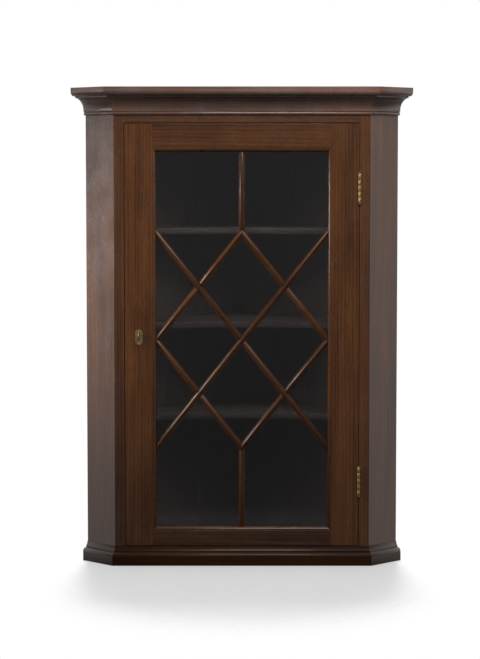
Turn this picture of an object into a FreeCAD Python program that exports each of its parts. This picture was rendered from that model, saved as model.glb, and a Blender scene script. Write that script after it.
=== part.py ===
"""Hanging corner cupboard with canted sides and one door glazed in a diamond lattice.

The frame is +Z up with the door facing -Y. The origin is at the middle of the box round
the cupboard, on the level that its base stands on. All lengths are in millimetres.
"""
import FreeCAD
import Part
import Sketcher
import math
import os
from types import SimpleNamespace

Vector = FreeCAD.Vector
Rotation = FreeCAD.Rotation
UP = Vector(0, 0, 1)
DEEP = Vector(0, 1, 0)
ACROSS = Vector(1, 0, 0)

# The canted sides stand at 45 degrees to the front, so every joint there halves that angle
CANT = 45
HALF_CANT = math.radians(CANT / 2)
MITRE = math.tan(HALF_CANT)
ROOT_HALF = math.sqrt(0.5)

# Turn of the frame whose X runs along the left wall and Y along the right wall
WALLS = Rotation(UP, CANT - 180)

# Knuckles of one hinge, shared in turn between its two leaves
KNUCKLES = 5

SIZES = [
    ("front_width", 560, "flat front between the canted sides"),
    ("canted_width", 92, "face of each canted side"),
    ("overall_height", 1050, "base to cornice top"),
    ("cornice_height", 60, "cornice moulding"),
    ("cornice_projection", 43, "cornice beyond the case"),
    ("cornice_rise", 18, "cornice above the top board"),
    ("cornice_toe", 3, "root of the cornice's lowest bead beyond the case"),
    ("cornice_bead", 8, "height of the cornice's lowest bead"),
    ("cornice_swell", 2.5, "lowest bead beyond its root"),
    ("cornice_fillet", 3, "square steps of the cornice"),
    ("cornice_ovolo", 10, "upper round of the cornice"),
    ("cornice_crown", 9, "upright top edge of the cornice"),
    ("base_height", 42, "base moulding"),
    ("base_projection", 14, "base moulding beyond the case"),
    ("base_plinth", 20, "upright lower part of the base moulding"),
    ("base_round", 9, "round of the base moulding"),
    ("base_fillet", 3, "square step of the base moulding"),
    ("base_lip", 1.2, "upper edge of the base moulding beyond the case"),
    ("board_thickness", 18, "top and bottom boards"),
    ("back_thickness", 12, "backboards"),
    ("back_gap", 0.6, "shrinkage gap between backboards"),
    ("back_rebate", 8, "lap of the backboards into the canted sides"),
    ("frame_thickness", 20, "canted sides, front stiles and rails"),
    ("stile_width", 22, "front stile beside the door"),
    ("rail_reveal", 17, "front rail seen between cornice and door"),
    ("tenon_thickness", 7, "tenons of the front and the door"),
    ("tenon_shoulder", 6, "shoulder above and below a tenon"),
    ("case_tenon", 11, "tenons of the front rails"),
    ("door_tenon", 38, "tenons of the door rails"),
    ("joint_clearance", 0.2, "room round a tenon or an inlaid plate"),
    ("door_gap", 1.5, "gap round the door"),
    ("stop_clearance", 0.5, "door set forward of its stop"),
    ("door_stile_width", 60, "door stile without its sight moulding"),
    ("door_top_rail", 54, "door top rail without its sight moulding"),
    ("door_bottom_rail", 33, "door bottom rail without its sight moulding"),
    ("stop_length", 120, "door stop along the top rail"),
    ("stop_lap", 10, "door stop below the top of the door"),
    ("stop_thickness", 9, "door stop front to back"),
    ("bead_width", 8, "sight moulding round the glass"),
    ("bead_round", 6, "drop of the rounded face of the sight moulding"),
    ("bead_flat", 2, "flat of the sight moulding and of the bars' edges"),
    ("glass_depth", 8.5, "door front to glass"),
    ("glass_thickness", 2.5, "window glass"),
    ("glass_clearance", 0.5, "room round each pane"),
    ("bar_width", 14, "glazing bar"),
    ("bar_recess", 2.5, "nose of a glazing bar behind the door front"),
    ("rib_width", 4, "rib of a glazing bar between two panes"),
    ("rib_depth", 5, "rib of a glazing bar behind the glass line"),
    ("putty_width", 4, "putty round the back of each pane"),
    ("putty_depth", 2.5, "thickness of the putty"),
    ("lattice_rise", 118, "half height of a diamond"),
    ("shelf_thickness", 14, "shelves"),
    ("lower_shelf_level", 328, "upper face of the lower shelf"),
    ("middle_shelf_level", 533, "upper face of the middle shelf"),
    ("upper_shelf_level", 742, "upper face of the upper shelf"),
    ("shelf_setback", 30, "shelf front behind the front frame"),
    ("shelf_hollow", 45, "depth of the hollowed shelf front"),
    ("shelf_hollow_half", 235, "half the width of the hollowed shelf front"),
    ("shelf_clearance", 0.5, "room at the shelf ends"),
    ("bearer_depth", 12, "shelf bearer off the wall"),
    ("bearer_height", 18, "shelf bearer"),
    ("bearer_inset", 20, "shelf bearer short of the canted side and the corner"),
    ("hanger_depth", 18, "hanging rail off the backboards"),
    ("hanger_height", 70, "hanging rail"),
    ("hanger_hole", 3.5, "radius of the wall screw holes"),
    ("block_size", 16, "glue blocks behind the cornice"),
    ("block_length", 60, "glue blocks along the cornice"),
    ("block_spacing", 154, "glue blocks behind the front cornice"),
    ("hinge_length", 64, "butt hinge"),
    ("hinge_inset", 110, "end of the door to the hinge"),
    ("leaf_width", 16, "hinge leaf let into the wood"),
    ("leaf_thickness", 2, "hinge leaf"),
    ("knuckle_radius", 3.5, "hinge knuckle"),
    ("knuckle_gap", 0.3, "between knuckles, and from knuckle to wood"),
    ("pin_radius", 1.8, "hinge pin"),
    ("pin_running", 0.05, "hinge pin in its bore"),
    ("pin_head", 3.0, "radius of the hinge pin's button ends"),
    ("pin_head_height", 1.6, "hinge pin's button ends"),
    ("screw_radius", 1.6, "wood screws"),
    ("screw_head", 3.2, "radius of the screw heads"),
    ("screw_head_height", 1.6, "round heads of the lock screws"),
    ("screw_length", 13, "wood screw under the head"),
    ("screw_clearance", 0.05, "screw in its hole"),
    ("screw_spacing", 22, "screws along a hinge leaf"),
    ("screw_inset", 8.8, "hinge screws behind the front"),
    ("lock_level", 508, "key axis above the floor"),
    ("lock_edge", 1, "lock back from the door's edge"),
    ("lock_width", 58, "lock across the stile"),
    ("lock_above", 28, "lock case above the key"),
    ("lock_below", 16, "lock case below the key"),
    ("lock_depth", 13, "lock case behind the door"),
    ("lock_wall", 1.5, "lock case wall and plate"),
    ("lock_flange", 9, "lock plate above and below the case"),
    ("key_backset", 30, "key axis from the lock's edge"),
    ("bolt_rise", 6, "key axis to the bolt's lower edge"),
    ("bolt_height", 16, "lock bolt"),
    ("bolt_thickness", 7, "lock bolt front to back"),
    ("bolt_length", 46, "lock bolt"),
    ("strike_width", 11, "striking plate across the front stile"),
    ("bolt_clearance", 0.3, "bolt in its slot, key in its hole"),
    ("key_radius", 2.5, "key shank"),
    ("key_reach", 26, "key in front of the door"),
    ("key_bit", 10, "key axis to the end of the bit"),
    ("key_bit_thickness", 2.5, "key bit"),
    ("bow_radius", 8, "middle of the key bow's ring"),
    ("bow_wire", 1.9, "half thickness of the key bow"),
    ("collar_radius", 3.7, "collar of the key"),
    ("collar_length", 3.8, "collar of the key"),
    ("plate_half_width", 8, "escutcheon"),
    ("plate_half_height", 17, "escutcheon"),
    ("plate_thickness", 1.2, "escutcheon"),
    ("keyhole_slot", 8, "keyhole slot below the key's axis"),
    ("keyhole_slot_width", 3, "keyhole slot"),
]


class Size:
    """A number together with the sheet expression that gives it."""

    def __init__(self, text, value):
        self.text = text
        self.value = value

    @staticmethod
    def of(item):
        if isinstance(item, Size):
            return item
        return Size(f"({float(item)!r})", float(item))

    def __add__(self, other):
        other = Size.of(other)
        return Size(f"({self.text} + {other.text})", self.value + other.value)

    def __sub__(self, other):
        other = Size.of(other)
        return Size(f"({self.text} - {other.text})", self.value - other.value)

    def __mul__(self, other):
        other = Size.of(other)
        return Size(f"({self.text} * {other.text})", self.value * other.value)

    def __truediv__(self, other):
        other = Size.of(other)
        return Size(f"({self.text} / {other.text})", self.value / other.value)

    def __neg__(self):
        return self * -1

    __radd__ = __add__
    __rmul__ = __mul__

    def __rsub__(self, other):
        return Size.of(other) - self

    def root(self):
        return Size(f"sqrt({self.text})", math.sqrt(self.value))


doc = FreeCAD.newDocument("corner_cupboard")
sheet = doc.addObject("Spreadsheet::Sheet", "Sizes")
s = SimpleNamespace()
nodes = []


def enter(alias, content, note):
    """Write one row of the sheet and keep its cell as a named size."""
    row = len(vars(s)) + 1
    sheet.set(f"A{row}", note)
    sheet.set(f"B{row}", content)
    sheet.setAlias(f"B{row}", alias)
    sheet.recompute()
    setattr(s, alias, Size(f"Sizes.{alias}", float(sheet.get(alias))))


def derive(alias, size, note):
    """Write a row whose number follows from other rows."""
    enter(alias, "=" + size.text.replace("Sizes.", ""), note)


for size_alias, size_value, size_note in SIZES:
    enter(size_alias, str(size_value), size_note)

derive("front_half", s.front_width / 2, "middle to the front corner")
derive("wall_length", s.front_width * ROOT_HALF + s.canted_width, "case along each wall")
derive("case_depth", s.front_half + s.canted_width * (2 * ROOT_HALF), "front to rear corner")
derive("front_y", (s.cornice_projection - s.case_depth) / 2, "front plane")
derive("corner_y", (s.cornice_projection + s.case_depth) / 2, "rear corner")
derive("board_top", s.overall_height - s.cornice_rise, "upper face of the top board")
derive("upright_top", s.board_top - s.board_thickness, "upper end of sides and stiles")
derive("cornice_level", s.overall_height - s.cornice_height, "lower edge of the cornice")
derive("back_end", s.wall_length - s.frame_thickness + s.back_rebate, "end of the backboards")
derive("opening_half", s.front_half - s.stile_width, "half the door opening")
derive("opening_top", s.cornice_level - s.rail_reveal, "top of the door opening")
derive("door_half", s.opening_half - s.door_gap, "half the door")
derive("door_bottom", s.base_height + s.door_gap, "lower edge of the door")
derive("door_top", s.opening_top - s.door_gap, "upper edge of the door")
derive("door_thickness", s.frame_thickness - s.stop_clearance, "door frame")
derive("light_half", s.door_half - s.door_stile_width, "half the width inside the door frame")
derive("light_bottom", s.door_bottom + s.door_bottom_rail, "upper edge of the bottom rail")
derive("light_top", s.door_top - s.door_top_rail, "lower edge of the top rail")
derive("sight_half", s.light_half - s.bead_width, "half the glass in sight")
derive("sight_rise", (s.light_top - s.light_bottom) / 2 - s.bead_width, "half the height in sight")
derive("sight_middle", (s.light_top + s.light_bottom) / 2, "middle of the glass")
derive("lattice_run", s.sight_half / 2, "half width of a diamond")
derive("lattice_edge", (s.lattice_run * s.lattice_run + s.lattice_rise * s.lattice_rise).root(),
       "side of a diamond")
derive("slope", s.lattice_rise / s.lattice_run, "rise of the bars")
derive("pane_inset", s.rib_width / 2 + s.glass_clearance, "bar line to pane")
derive("bar_spare", s.bar_width * 4, "bars drawn too long before their ends are cut")
derive("pane_lap", s.bead_width - s.glass_clearance, "pane behind the sight moulding")
derive("hinge_x", s.opening_half - s.door_gap / 2, "hinge axis")
derive("hinge_y", s.front_y - s.knuckle_radius - s.knuckle_gap, "hinge axis")
derive("lock_x", s.lock_edge - s.door_half, "edge of the lock")
derive("key_x", s.lock_x + s.key_backset, "key axis")
derive("lock_y", s.front_y + s.door_thickness, "back of the door")
derive("bolt_y", s.lock_y + (s.lock_depth - s.bolt_thickness) / 2, "front of the bolt")


def bind(item, **sizes):
    """Tie properties of an object to the sheet."""
    for name, size in sizes.items():
        item.setExpression(name, Size.of(size).text)


def place(item, x=0, y=0, z=0, turn=Rotation()):
    """Put an object at a point that follows the sheet, with a fixed turn."""
    spot = [Size.of(value) for value in (x, y, z)]
    item.Placement = FreeCAD.Placement(Vector(*[value.value for value in spot]), turn)
    for axis, value in zip("xyz", spot):
        item.setExpression(f"Placement.Base.{axis}", value.text)
    return item


def keep(item, label):
    """Name a finished sub-part and list it for writing."""
    item.Label = label
    nodes.append(item)
    return item


def box(name, x, y, z, width, depth, height, turn=Rotation()):
    """Rectangular block from its lowest corner."""
    item = doc.addObject("Part::Box", name)
    bind(item, Length=width, Width=depth, Height=height)
    return place(item, x, y, z, turn)


def rod(name, x, y, z, axis, radius, length):
    """Round bar that starts at a point and runs along an axis."""
    item = doc.addObject("Part::Cylinder", name)
    bind(item, Radius=radius, Height=length)
    return place(item, x, y, z, Rotation(UP, axis))


def taper(name, x, y, z, axis, radius, end_radius, length):
    """Cone that starts at a point and runs along an axis."""
    item = doc.addObject("Part::Cone", name)
    bind(item, Radius1=radius, Radius2=end_radius, Height=length)
    return place(item, x, y, z, Rotation(UP, axis))


def fuse(name, shapes):
    """One solid from overlapping shapes."""
    item = doc.addObject("Part::MultiFuse", name)
    item.Shapes = shapes
    return item


def group(name, shapes):
    """Separate solids under one name."""
    item = doc.addObject("Part::Compound", name)
    item.Links = shapes
    return item


def cut(name, base, tools):
    """A shape with others taken away from it."""
    item = doc.addObject("Part::Cut", name)
    item.Base = base
    item.Tool = group(name + "_tools", tools)
    return item


def arc_between(start, end, radius, sense):
    """Arc under a half circle between two points, anticlockwise for a sense of 1."""
    chord = end - start
    side = Vector(-chord.y, chord.x, 0).normalize() * sense
    half = chord.Length / 2
    centre = start + chord * 0.5 + side * math.sqrt(max(radius * radius - half * half, 0))
    first, last = (start, end) if sense > 0 else (end, start)
    angles = [math.atan2(point.y - centre.y, point.x - centre.x) for point in (first, last)]
    return Part.ArcOfCircle(Part.Circle(centre, UP, radius), *angles)


def arc_radius(half_chord, rise):
    """Radius of the arc that rises so far over so long a half chord."""
    return (half_chord * half_chord + rise * rise) / (rise * 2)


def draw(sketch, corners):
    """Closed outline through corners (x, y), or (x, y, radius, sense) where an arc starts."""
    corners = [[Size.of(value) for value in corner] for corner in corners]
    points = [Vector(corner[0].value, corner[1].value, 0) for corner in corners]
    first = sketch.GeometryCount
    ends = []
    for index, corner in enumerate(corners):
        start = points[index]
        end = points[(index + 1) % len(points)]
        if len(corner) == 2:
            sketch.addGeometry(Part.LineSegment(start, end), False)
            ends.append((1, 2))
        else:
            sense = corner[3].value
            sketch.addGeometry(arc_between(start, end, corner[2].value, sense), False)
            ends.append((1, 2) if sense > 0 else (2, 1))
    for index, corner in enumerate(corners):
        after = (index + 1) % len(corners)
        sketch.addConstraint(Sketcher.Constraint(
            "Coincident", first + index, ends[index][1], first + after, ends[after][0]))
        hold(sketch, "DistanceX", first + index, ends[index][0], corner[0])
        hold(sketch, "DistanceY", first + index, ends[index][0], corner[1])
        if len(corner) > 2:
            number = sketch.addConstraint(
                Sketcher.Constraint("Radius", first + index, corner[2].value))
            sketch.setExpression(f"Constraints[{number}]", corner[2].text)


def hold(sketch, kind, line, end, size):
    """Fix one coordinate of a sketch point to the sheet."""
    number = sketch.addConstraint(Sketcher.Constraint(kind, -1, 1, line, end, size.value))
    sketch.setExpression(f"Constraints[{number}]", size.text)


def new_sketch(body, role):
    """Empty sketch on one of the body's own origin planes."""
    sketch = body.newObject("Sketcher::SketchObject", body.Name + "_sketch")
    plane = next(item for item in body.Origin.OriginFeatures if item.Role == role)
    sketch.AttachmentSupport = [(plane, "")]
    sketch.MapMode = "FlatFace"
    return sketch


def prism(name, outlines, height, role="XY_Plane"):
    """Board or bar: closed outlines in a plane, given a thickness."""
    body = doc.addObject("PartDesign::Body", name)
    sketch = new_sketch(body, role)
    for outline in outlines:
        draw(sketch, outline)
    pad = body.newObject("PartDesign::Pad", name + "_pad")
    pad.Profile = sketch
    bind(pad, Length=height)
    if role == "YZ_Plane":
        pad.SideType = "Symmetric"
    return body


def pocket(body, sketch):
    """Cut a sketch right through a body, and make sure that it took something away."""
    doc.recompute()
    before = body.Shape.Volume
    cutter = body.newObject("PartDesign::Pocket", body.Name + "_cut")
    cutter.Profile = sketch
    cutter.SideType = "Symmetric"
    cutter.Type = "ThroughAll"
    doc.recompute()
    if not body.Shape.Volume < before:
        raise RuntimeError(f"nothing was cut from {body.Name}")


def trim(body, point, away, reach):
    """Cut off what lies past a line through a point, on the side that away points to."""
    corners = []
    for along, past in ((-1, 0), (1, 0), (1, 1), (-1, 1)):
        corners.append((point[0] - reach * along * away[1] + reach * past * away[0],
                        point[1] + reach * along * away[0] + reach * past * away[1]))
    sketch = new_sketch(body, "XY_Plane")
    draw(sketch, corners)
    pocket(body, sketch)


def wall_point(along_left, along_right):
    """Plan position from distances along the two walls, counted from the rear corner."""
    x = (along_right - along_left) * ROOT_HALF
    y = s.corner_y - (along_left + along_right) * ROOT_HALF
    return x, y


def wall_piece(name, side, corners, level, height):
    """Upright piece in plan: corners are (distance along its wall, distance off it)."""
    if side == "right":
        corners = [(corner[1], corner[0]) for corner in corners]
    return place(prism(name, [corners], height), 0, s.corner_y, level, WALLS)


# The carcase: two boards, six backboards, canted sides and the front frame

def carcase_boards():
    """Top and bottom boards, notched round the ends of the backboards."""
    back = s.back_thickness
    outline = [
        (back, back), (s.back_end, back), (s.back_end, 0), (s.wall_length, 0),
        (s.wall_length, s.canted_width), (s.canted_width, s.wall_length),
        (0, s.wall_length), (0, s.back_end), (back, s.back_end)]
    for label, level in (("bottom_board", 0), ("top_board", s.upright_top)):
        board = wall_piece(label, "left", outline, level, s.board_thickness)
        keep(board, label)


def backboards():
    """Three upright boards on each wall; the outer two are drilled for the wall screws."""
    for side, start in (("left", Size.of(0)), ("right", s.back_thickness)):
        width = (s.back_end - start - s.back_gap * 2) / 3
        for number in range(3):
            near = start + (width + s.back_gap) * number
            far = near + width
            label = f"{side}_backboard_{number + 1}"
            outline = [(near, 0), (far, 0), (far, s.back_thickness), (near, s.back_thickness)]
            board = wall_piece(label + "_blank", side, outline, 0, s.board_top)
            if number != 1:
                board = cut(label, board, [wall_drill(label + "_drill", side, near + width / 2)])
            keep(board, label)


def wall_drill(name, side, along):
    """Hole for a wall screw through a hanging rail and the backboard behind it."""
    way = Vector(ROOT_HALF, -ROOT_HALF, 0)
    x, y = wall_point(along, Size.of(0))
    if side == "right":
        way = Vector(-ROOT_HALF, -ROOT_HALF, 0)
        x, y = wall_point(Size.of(0), along)
    level = s.upright_top - s.hanger_height / 2
    return rod(name, x, y, level, way, s.hanger_hole, s.back_thickness + s.hanger_depth)


def hanging_rails():
    """Rails under the top board that carry the wall screws."""
    for side, start in (("left", Size.of(0)), ("right", s.back_thickness)):
        label = f"{side}_hanging_rail"
        near = s.back_thickness + s.hanger_depth + s.bearer_inset
        far = s.wall_length - s.frame_thickness - s.bearer_inset
        inner = s.back_thickness + s.hanger_depth
        outline = [(near, s.back_thickness), (far, s.back_thickness), (far, inner), (near, inner)]
        blank = wall_piece(label + "_blank", side, outline,
                           s.upright_top - s.hanger_height, s.hanger_height)
        width = (s.back_end - start - s.back_gap * 2) / 3
        holes = [start + width / 2, start + width * 2.5 + s.back_gap * 2]
        drills = [wall_drill(f"{label}_drill_{number}", side, along)
                  for number, along in enumerate(holes)]
        keep(cut(label, blank, drills), label)


def canted_sides():
    """Canted sides, rebated for the backboards and mitred to the front stiles."""
    inner = s.wall_length - s.frame_thickness
    outline = [
        (s.wall_length, 0), (s.wall_length, s.canted_width),
        (inner, s.canted_width - s.frame_thickness * MITRE), (inner, s.back_thickness),
        (s.back_end, s.back_thickness), (s.back_end, 0)]
    for side in ("left", "right"):
        label = f"{side}_canted_side"
        keep(wall_piece(label, side, outline, s.board_thickness,
                        s.upright_top - s.board_thickness), label)


def tenon(name, x, y, bottom, top, length, clearance=0):
    """Tenon from a shoulder at x, or the mortise for it when a clearance is given."""
    y_start = y + (s.frame_thickness - s.tenon_thickness) / 2 - clearance
    return box(name, x - clearance, y_start, bottom + s.tenon_shoulder - clearance,
               length + clearance * 2, s.tenon_thickness + clearance * 2,
               top - bottom - s.tenon_shoulder * 2 + clearance * 2)


def front_rails():
    """Rails above and below the door, tenoned into the front stiles."""
    levels = (("bottom_front_rail", s.board_thickness, s.base_height),
              ("top_front_rail", s.opening_top, s.upright_top))
    for label, bottom, top in levels:
        blank = box(label + "_blank", -s.opening_half, s.front_y, bottom,
                    s.opening_half * 2, s.frame_thickness, top - bottom)
        left = tenon(label + "_left", -s.opening_half - s.case_tenon, s.front_y,
                     bottom, top, s.case_tenon)
        right = tenon(label + "_right", s.opening_half, s.front_y, bottom, top, s.case_tenon)
        keep(fuse(label, [blank, left, right]), label)


def front_stiles():
    """Front stiles, mitred to the canted sides, mortised, and on the right let in for hinges."""
    mitred = s.front_half - s.frame_thickness * MITRE
    for side, sign in (("left", -1), ("right", 1)):
        label = f"{side}_front_stile"
        outline = [
            (s.front_half * sign, 0), (s.opening_half * sign, 0),
            (s.opening_half * sign, s.frame_thickness), (mitred * sign, s.frame_thickness)]
        blank = prism(label + "_blank", [outline], s.upright_top - s.board_thickness)
        place(blank, 0, s.front_y, s.board_thickness)
        start = s.opening_half if sign > 0 else -s.opening_half - s.case_tenon
        tools = [
            tenon(label + "_low", start, s.front_y, s.board_thickness, s.base_height,
                  s.case_tenon, s.joint_clearance),
            tenon(label + "_high", start, s.front_y, s.opening_top, s.upright_top,
                  s.case_tenon, s.joint_clearance)]
        if side == "right":
            tools += hinge_cuts(label, s.opening_half, 1)
        keep(cut(label, blank, tools), label)


def door_stop():
    """Block behind the top rail that the closed door meets."""
    keep(box("door_stop", -s.stop_length / 2, s.front_y + s.frame_thickness,
             s.door_top - s.stop_lap, s.stop_length, s.stop_thickness,
             s.upright_top - s.door_top + s.stop_lap), "door_stop")


# Mouldings: the outline is drawn across the length, with -Y out of the face and Z up

def cornice_outline():
    """Bead, fillet, hollow, fillet, round and upright crown."""
    run = s.cornice_projection - s.cornice_ovolo - s.cornice_toe - s.cornice_fillet * 2
    foot = s.cornice_bead + s.cornice_fillet
    hollow_top = s.cornice_height - s.cornice_crown - s.cornice_ovolo - s.cornice_fillet
    rise = hollow_top - foot
    bead = arc_radius(s.cornice_bead / 2, s.cornice_swell)
    hollow_foot = s.cornice_toe + s.cornice_fillet
    round_foot = s.cornice_projection - s.cornice_ovolo
    return [
        (0, 0),
        (-s.cornice_toe, 0, bead, -1),
        (-(s.cornice_toe + s.cornice_swell), s.cornice_bead / 2, bead, -1),
        (-s.cornice_toe, s.cornice_bead),
        (-hollow_foot, s.cornice_bead),
        (-hollow_foot, foot, arc_radius(rise, run), 1),
        (-(hollow_foot + run), hollow_top),
        (-(hollow_foot + run), hollow_top + s.cornice_fillet),
        (-round_foot, hollow_top + s.cornice_fillet, s.cornice_ovolo, -1),
        (-s.cornice_projection, s.cornice_height - s.cornice_crown),
        (-s.cornice_projection, s.cornice_height),
        (0, s.cornice_height)]


def base_outline():
    """Upright plinth, round, fillet and a small hollow that dies into the case."""
    shoulder = s.base_projection - s.base_round
    foot = s.base_plinth + s.base_round + s.base_fillet
    run = shoulder - s.base_lip
    rise = s.base_height - foot
    return [
        (0, 0),
        (-s.base_projection, 0),
        (-s.base_projection, s.base_plinth, s.base_round, -1),
        (-shoulder, s.base_plinth + s.base_round),
        (-shoulder, foot, arc_radius(rise, run), 1),
        (-s.base_lip, s.base_height),
        (0, s.base_height)]


def mitred_run(label, outline, projection, level):
    """Front and two canted lengths of a moulding, with half-angle mitres between them."""
    tilt = math.cos(HALF_CANT)
    mitre = {-1: (-tilt, tilt * MITRE), 1: (tilt, tilt * MITRE)}
    square = {-1: (-1, 0), 1: (1, 0)}
    half = s.canted_width / 2
    side_x = s.front_half + half * ROOT_HALF
    side_y = s.front_y + half * ROOT_HALF
    runs = (("front", s.front_half, 0, s.front_y, 0, mitre[-1], mitre[1]),
            ("left", half, -side_x, side_y, -CANT, square[-1], mitre[1]),
            ("right", half, side_x, side_y, CANT, mitre[-1], square[1]))
    for name, half_length, x, y, angle, first, last in runs:
        length = (half_length + projection) * 2
        body = prism(f"{label}_{name}", [outline], length, "YZ_Plane")
        trim(body, (-half_length, Size.of(0)), first, length)
        trim(body, (half_length, Size.of(0)), last, length)
        keep(place(body, x, y, level, Rotation(UP, angle)), f"{label}_{name}")


def glue_blocks():
    """Blocks on the top board that hold the cornice upright."""
    blocks = []
    for number in (-1, 0, 1):
        middle = s.block_spacing * number
        blocks.append(box("front_block", middle - s.block_length / 2, s.front_y, s.board_top,
                          s.block_length, s.block_size, s.block_size))
    near = s.wall_length - s.block_size
    start = s.canted_width / 2 - s.block_length / 2
    end = start + s.block_length
    outline = [(near, start), (s.wall_length, start), (s.wall_length, end), (near, end)]
    for side in ("left", "right"):
        blocks.append(wall_piece(f"{side}_block", side, outline, s.board_top, s.block_size))
    keep(group("cornice_glue_blocks", blocks), "cornice_glue_blocks")


# Shelves and what carries them

SHELVES = (("lower", s.lower_shelf_level), ("middle", s.middle_shelf_level),
           ("upper", s.upper_shelf_level))


def shelves():
    """Shelves fitted into the corner, with a hollowed front edge."""
    back = s.back_thickness
    end = s.wall_length - s.frame_thickness - s.shelf_clearance
    front = s.case_depth - s.frame_thickness - s.shelf_setback
    turn = front * (2 * ROOT_HALF) - end
    outline = [(back, back), (end, back), (end, turn), (turn, end), (back, end)]
    radius = arc_radius(s.shelf_hollow_half, s.shelf_hollow)
    centre = (front - s.shelf_hollow + radius) * ROOT_HALF
    for name, level in SHELVES:
        label = f"{name}_shelf"
        shelf = wall_piece(label, "left", outline, level - s.shelf_thickness, s.shelf_thickness)
        sketch = new_sketch(shelf, "XY_Plane")
        spot = Vector(centre.value, centre.value, 0)
        circle = sketch.addGeometry(Part.Circle(spot, UP, radius.value), False)
        hold(sketch, "DistanceX", circle, 3, centre)
        hold(sketch, "DistanceY", circle, 3, centre)
        number = sketch.addConstraint(Sketcher.Constraint("Radius", circle, radius.value))
        sketch.setExpression(f"Constraints[{number}]", radius.text)
        pocket(shelf, sketch)
        keep(shelf, label)


def shelf_bearers():
    """Battens on both walls under each shelf."""
    near = s.back_thickness + s.bearer_depth + s.bearer_inset
    far = s.wall_length - s.frame_thickness - s.bearer_inset
    inner = s.back_thickness + s.bearer_depth
    outline = [(near, s.back_thickness), (far, s.back_thickness), (far, inner), (near, inner)]
    battens = [wall_piece(f"{side}_{name}_bearer", side, outline,
                          level - s.shelf_thickness - s.bearer_height, s.bearer_height)
               for side in ("left", "right") for name, level in SHELVES]
    keep(group("shelf_bearers", battens), "shelf_bearers")


# The door: a tenoned frame, sight moulding, lattice bars, panes and putty

IN_DOOR = Rotation(ACROSS, 90)


def door_rails():
    """Top and bottom rails of the door with a tenon at each end."""
    levels = (("door_bottom_rail", s.door_bottom, s.light_bottom),
              ("door_top_rail", s.light_top, s.door_top))
    for label, bottom, top in levels:
        blank = box(label + "_blank", -s.light_half, s.front_y, bottom,
                    s.light_half * 2, s.door_thickness, top - bottom)
        left = tenon(label + "_left", -s.light_half - s.door_tenon, s.front_y,
                     bottom, top, s.door_tenon)
        right = tenon(label + "_right", s.light_half, s.front_y, bottom, top, s.door_tenon)
        keep(fuse(label, [blank, left, right]), label)


def door_stiles():
    """Door stiles: the left one is bored for the lock, the right one let in for the hinges."""
    for side, sign in (("left", -1), ("right", 1)):
        label = f"door_{side}_stile"
        x = s.light_half if sign > 0 else -s.door_half
        blank = box(label + "_blank", x, s.front_y, s.door_bottom,
                    s.door_stile_width, s.door_thickness, s.door_top - s.door_bottom)
        start = s.light_half if sign > 0 else -s.light_half - s.door_tenon
        tools = [
            tenon(label + "_low", start, s.front_y, s.door_bottom, s.light_bottom,
                  s.door_tenon, s.joint_clearance),
            tenon(label + "_high", start, s.front_y, s.light_top, s.door_top,
                  s.door_tenon, s.joint_clearance)]
        if side == "right":
            tools += hinge_cuts(label, s.door_half, -1)
        else:
            tools += keyhole(label, s.front_y, s.door_thickness) + lock_pilots(label)
        keep(cut(label, blank, tools), label)


def sight_moulding():
    """Mitred moulding inside the door frame, in front of the glass."""
    depth = -s.glass_depth
    fall = s.bead_width - s.bead_flat
    radius = arc_radius(fall, s.bead_round)
    outline = [(0, depth), (0, 0), (-s.bead_flat, 0, radius, 1),
               (-s.bead_width, -s.bead_round), (-s.bead_width, depth)]
    tall = s.sight_rise + s.bead_width
    sides = (("top", s.light_half, 0, tall, 0), ("left", tall, -s.light_half, 0, -90),
             ("bottom", s.light_half, 0, -tall, 180), ("right", tall, s.light_half, 0, 90))
    lengths = []
    for name, half_length, x, z, angle in sides:
        length = half_length * 2
        body = prism(f"sight_{name}", [outline], length, "YZ_Plane")
        trim(body, (-half_length, Size.of(0)), (-ROOT_HALF, -ROOT_HALF), length)
        trim(body, (half_length, Size.of(0)), (ROOT_HALF, -ROOT_HALF), length)
        lengths.append(place(body, x, s.front_y, s.sight_middle + z,
                             Rotation(DEEP, angle) * IN_DOOR))
    keep(group("door_sight_moulding", lengths), "door_sight_moulding")


def bar_outline():
    """Round-nosed bar with a rib behind it that stands between two panes."""
    half = s.bar_width / 2
    nose = half - s.bead_flat
    rib = s.rib_width / 2
    back = -s.glass_depth
    edge = back + s.bead_flat
    height = s.glass_depth - s.bead_flat - s.bar_recess
    radius = arc_radius(nose, height)
    return [(-half, back), (-rib, back), (-rib, back - s.rib_depth), (rib, back - s.rib_depth),
            (rib, back), (half, back), (half, edge), (nose, edge, radius, 1),
            (0, edge + height, radius, 1), (-nose, edge), (-half, edge)]


def glazing_bar(name, start, end, way, length, cuts):
    """Bar between two points of the lattice, with its ends cut along given lines."""
    middle = [(first + last) / 2 for first, last in zip(start, end)]
    body = prism(name, [bar_outline()], length + s.bar_spare, "YZ_Plane")
    for point, away in cuts:
        across, up = point[0] - middle[0], point[1] - middle[1]
        spot = (across * way[0] + up * way[1], up * way[0] - across * way[1])
        side = (away[0] * way[0] + away[1] * way[1], away[1] * way[0] - away[0] * way[1])
        trim(body, spot, side, length + s.bar_spare)
    angle = math.degrees(math.atan2(way[1].value, way[0].value))
    return place(body, middle[0], s.front_y, s.sight_middle + middle[1],
                 Rotation(DEEP, -angle) * IN_DOOR)


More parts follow.
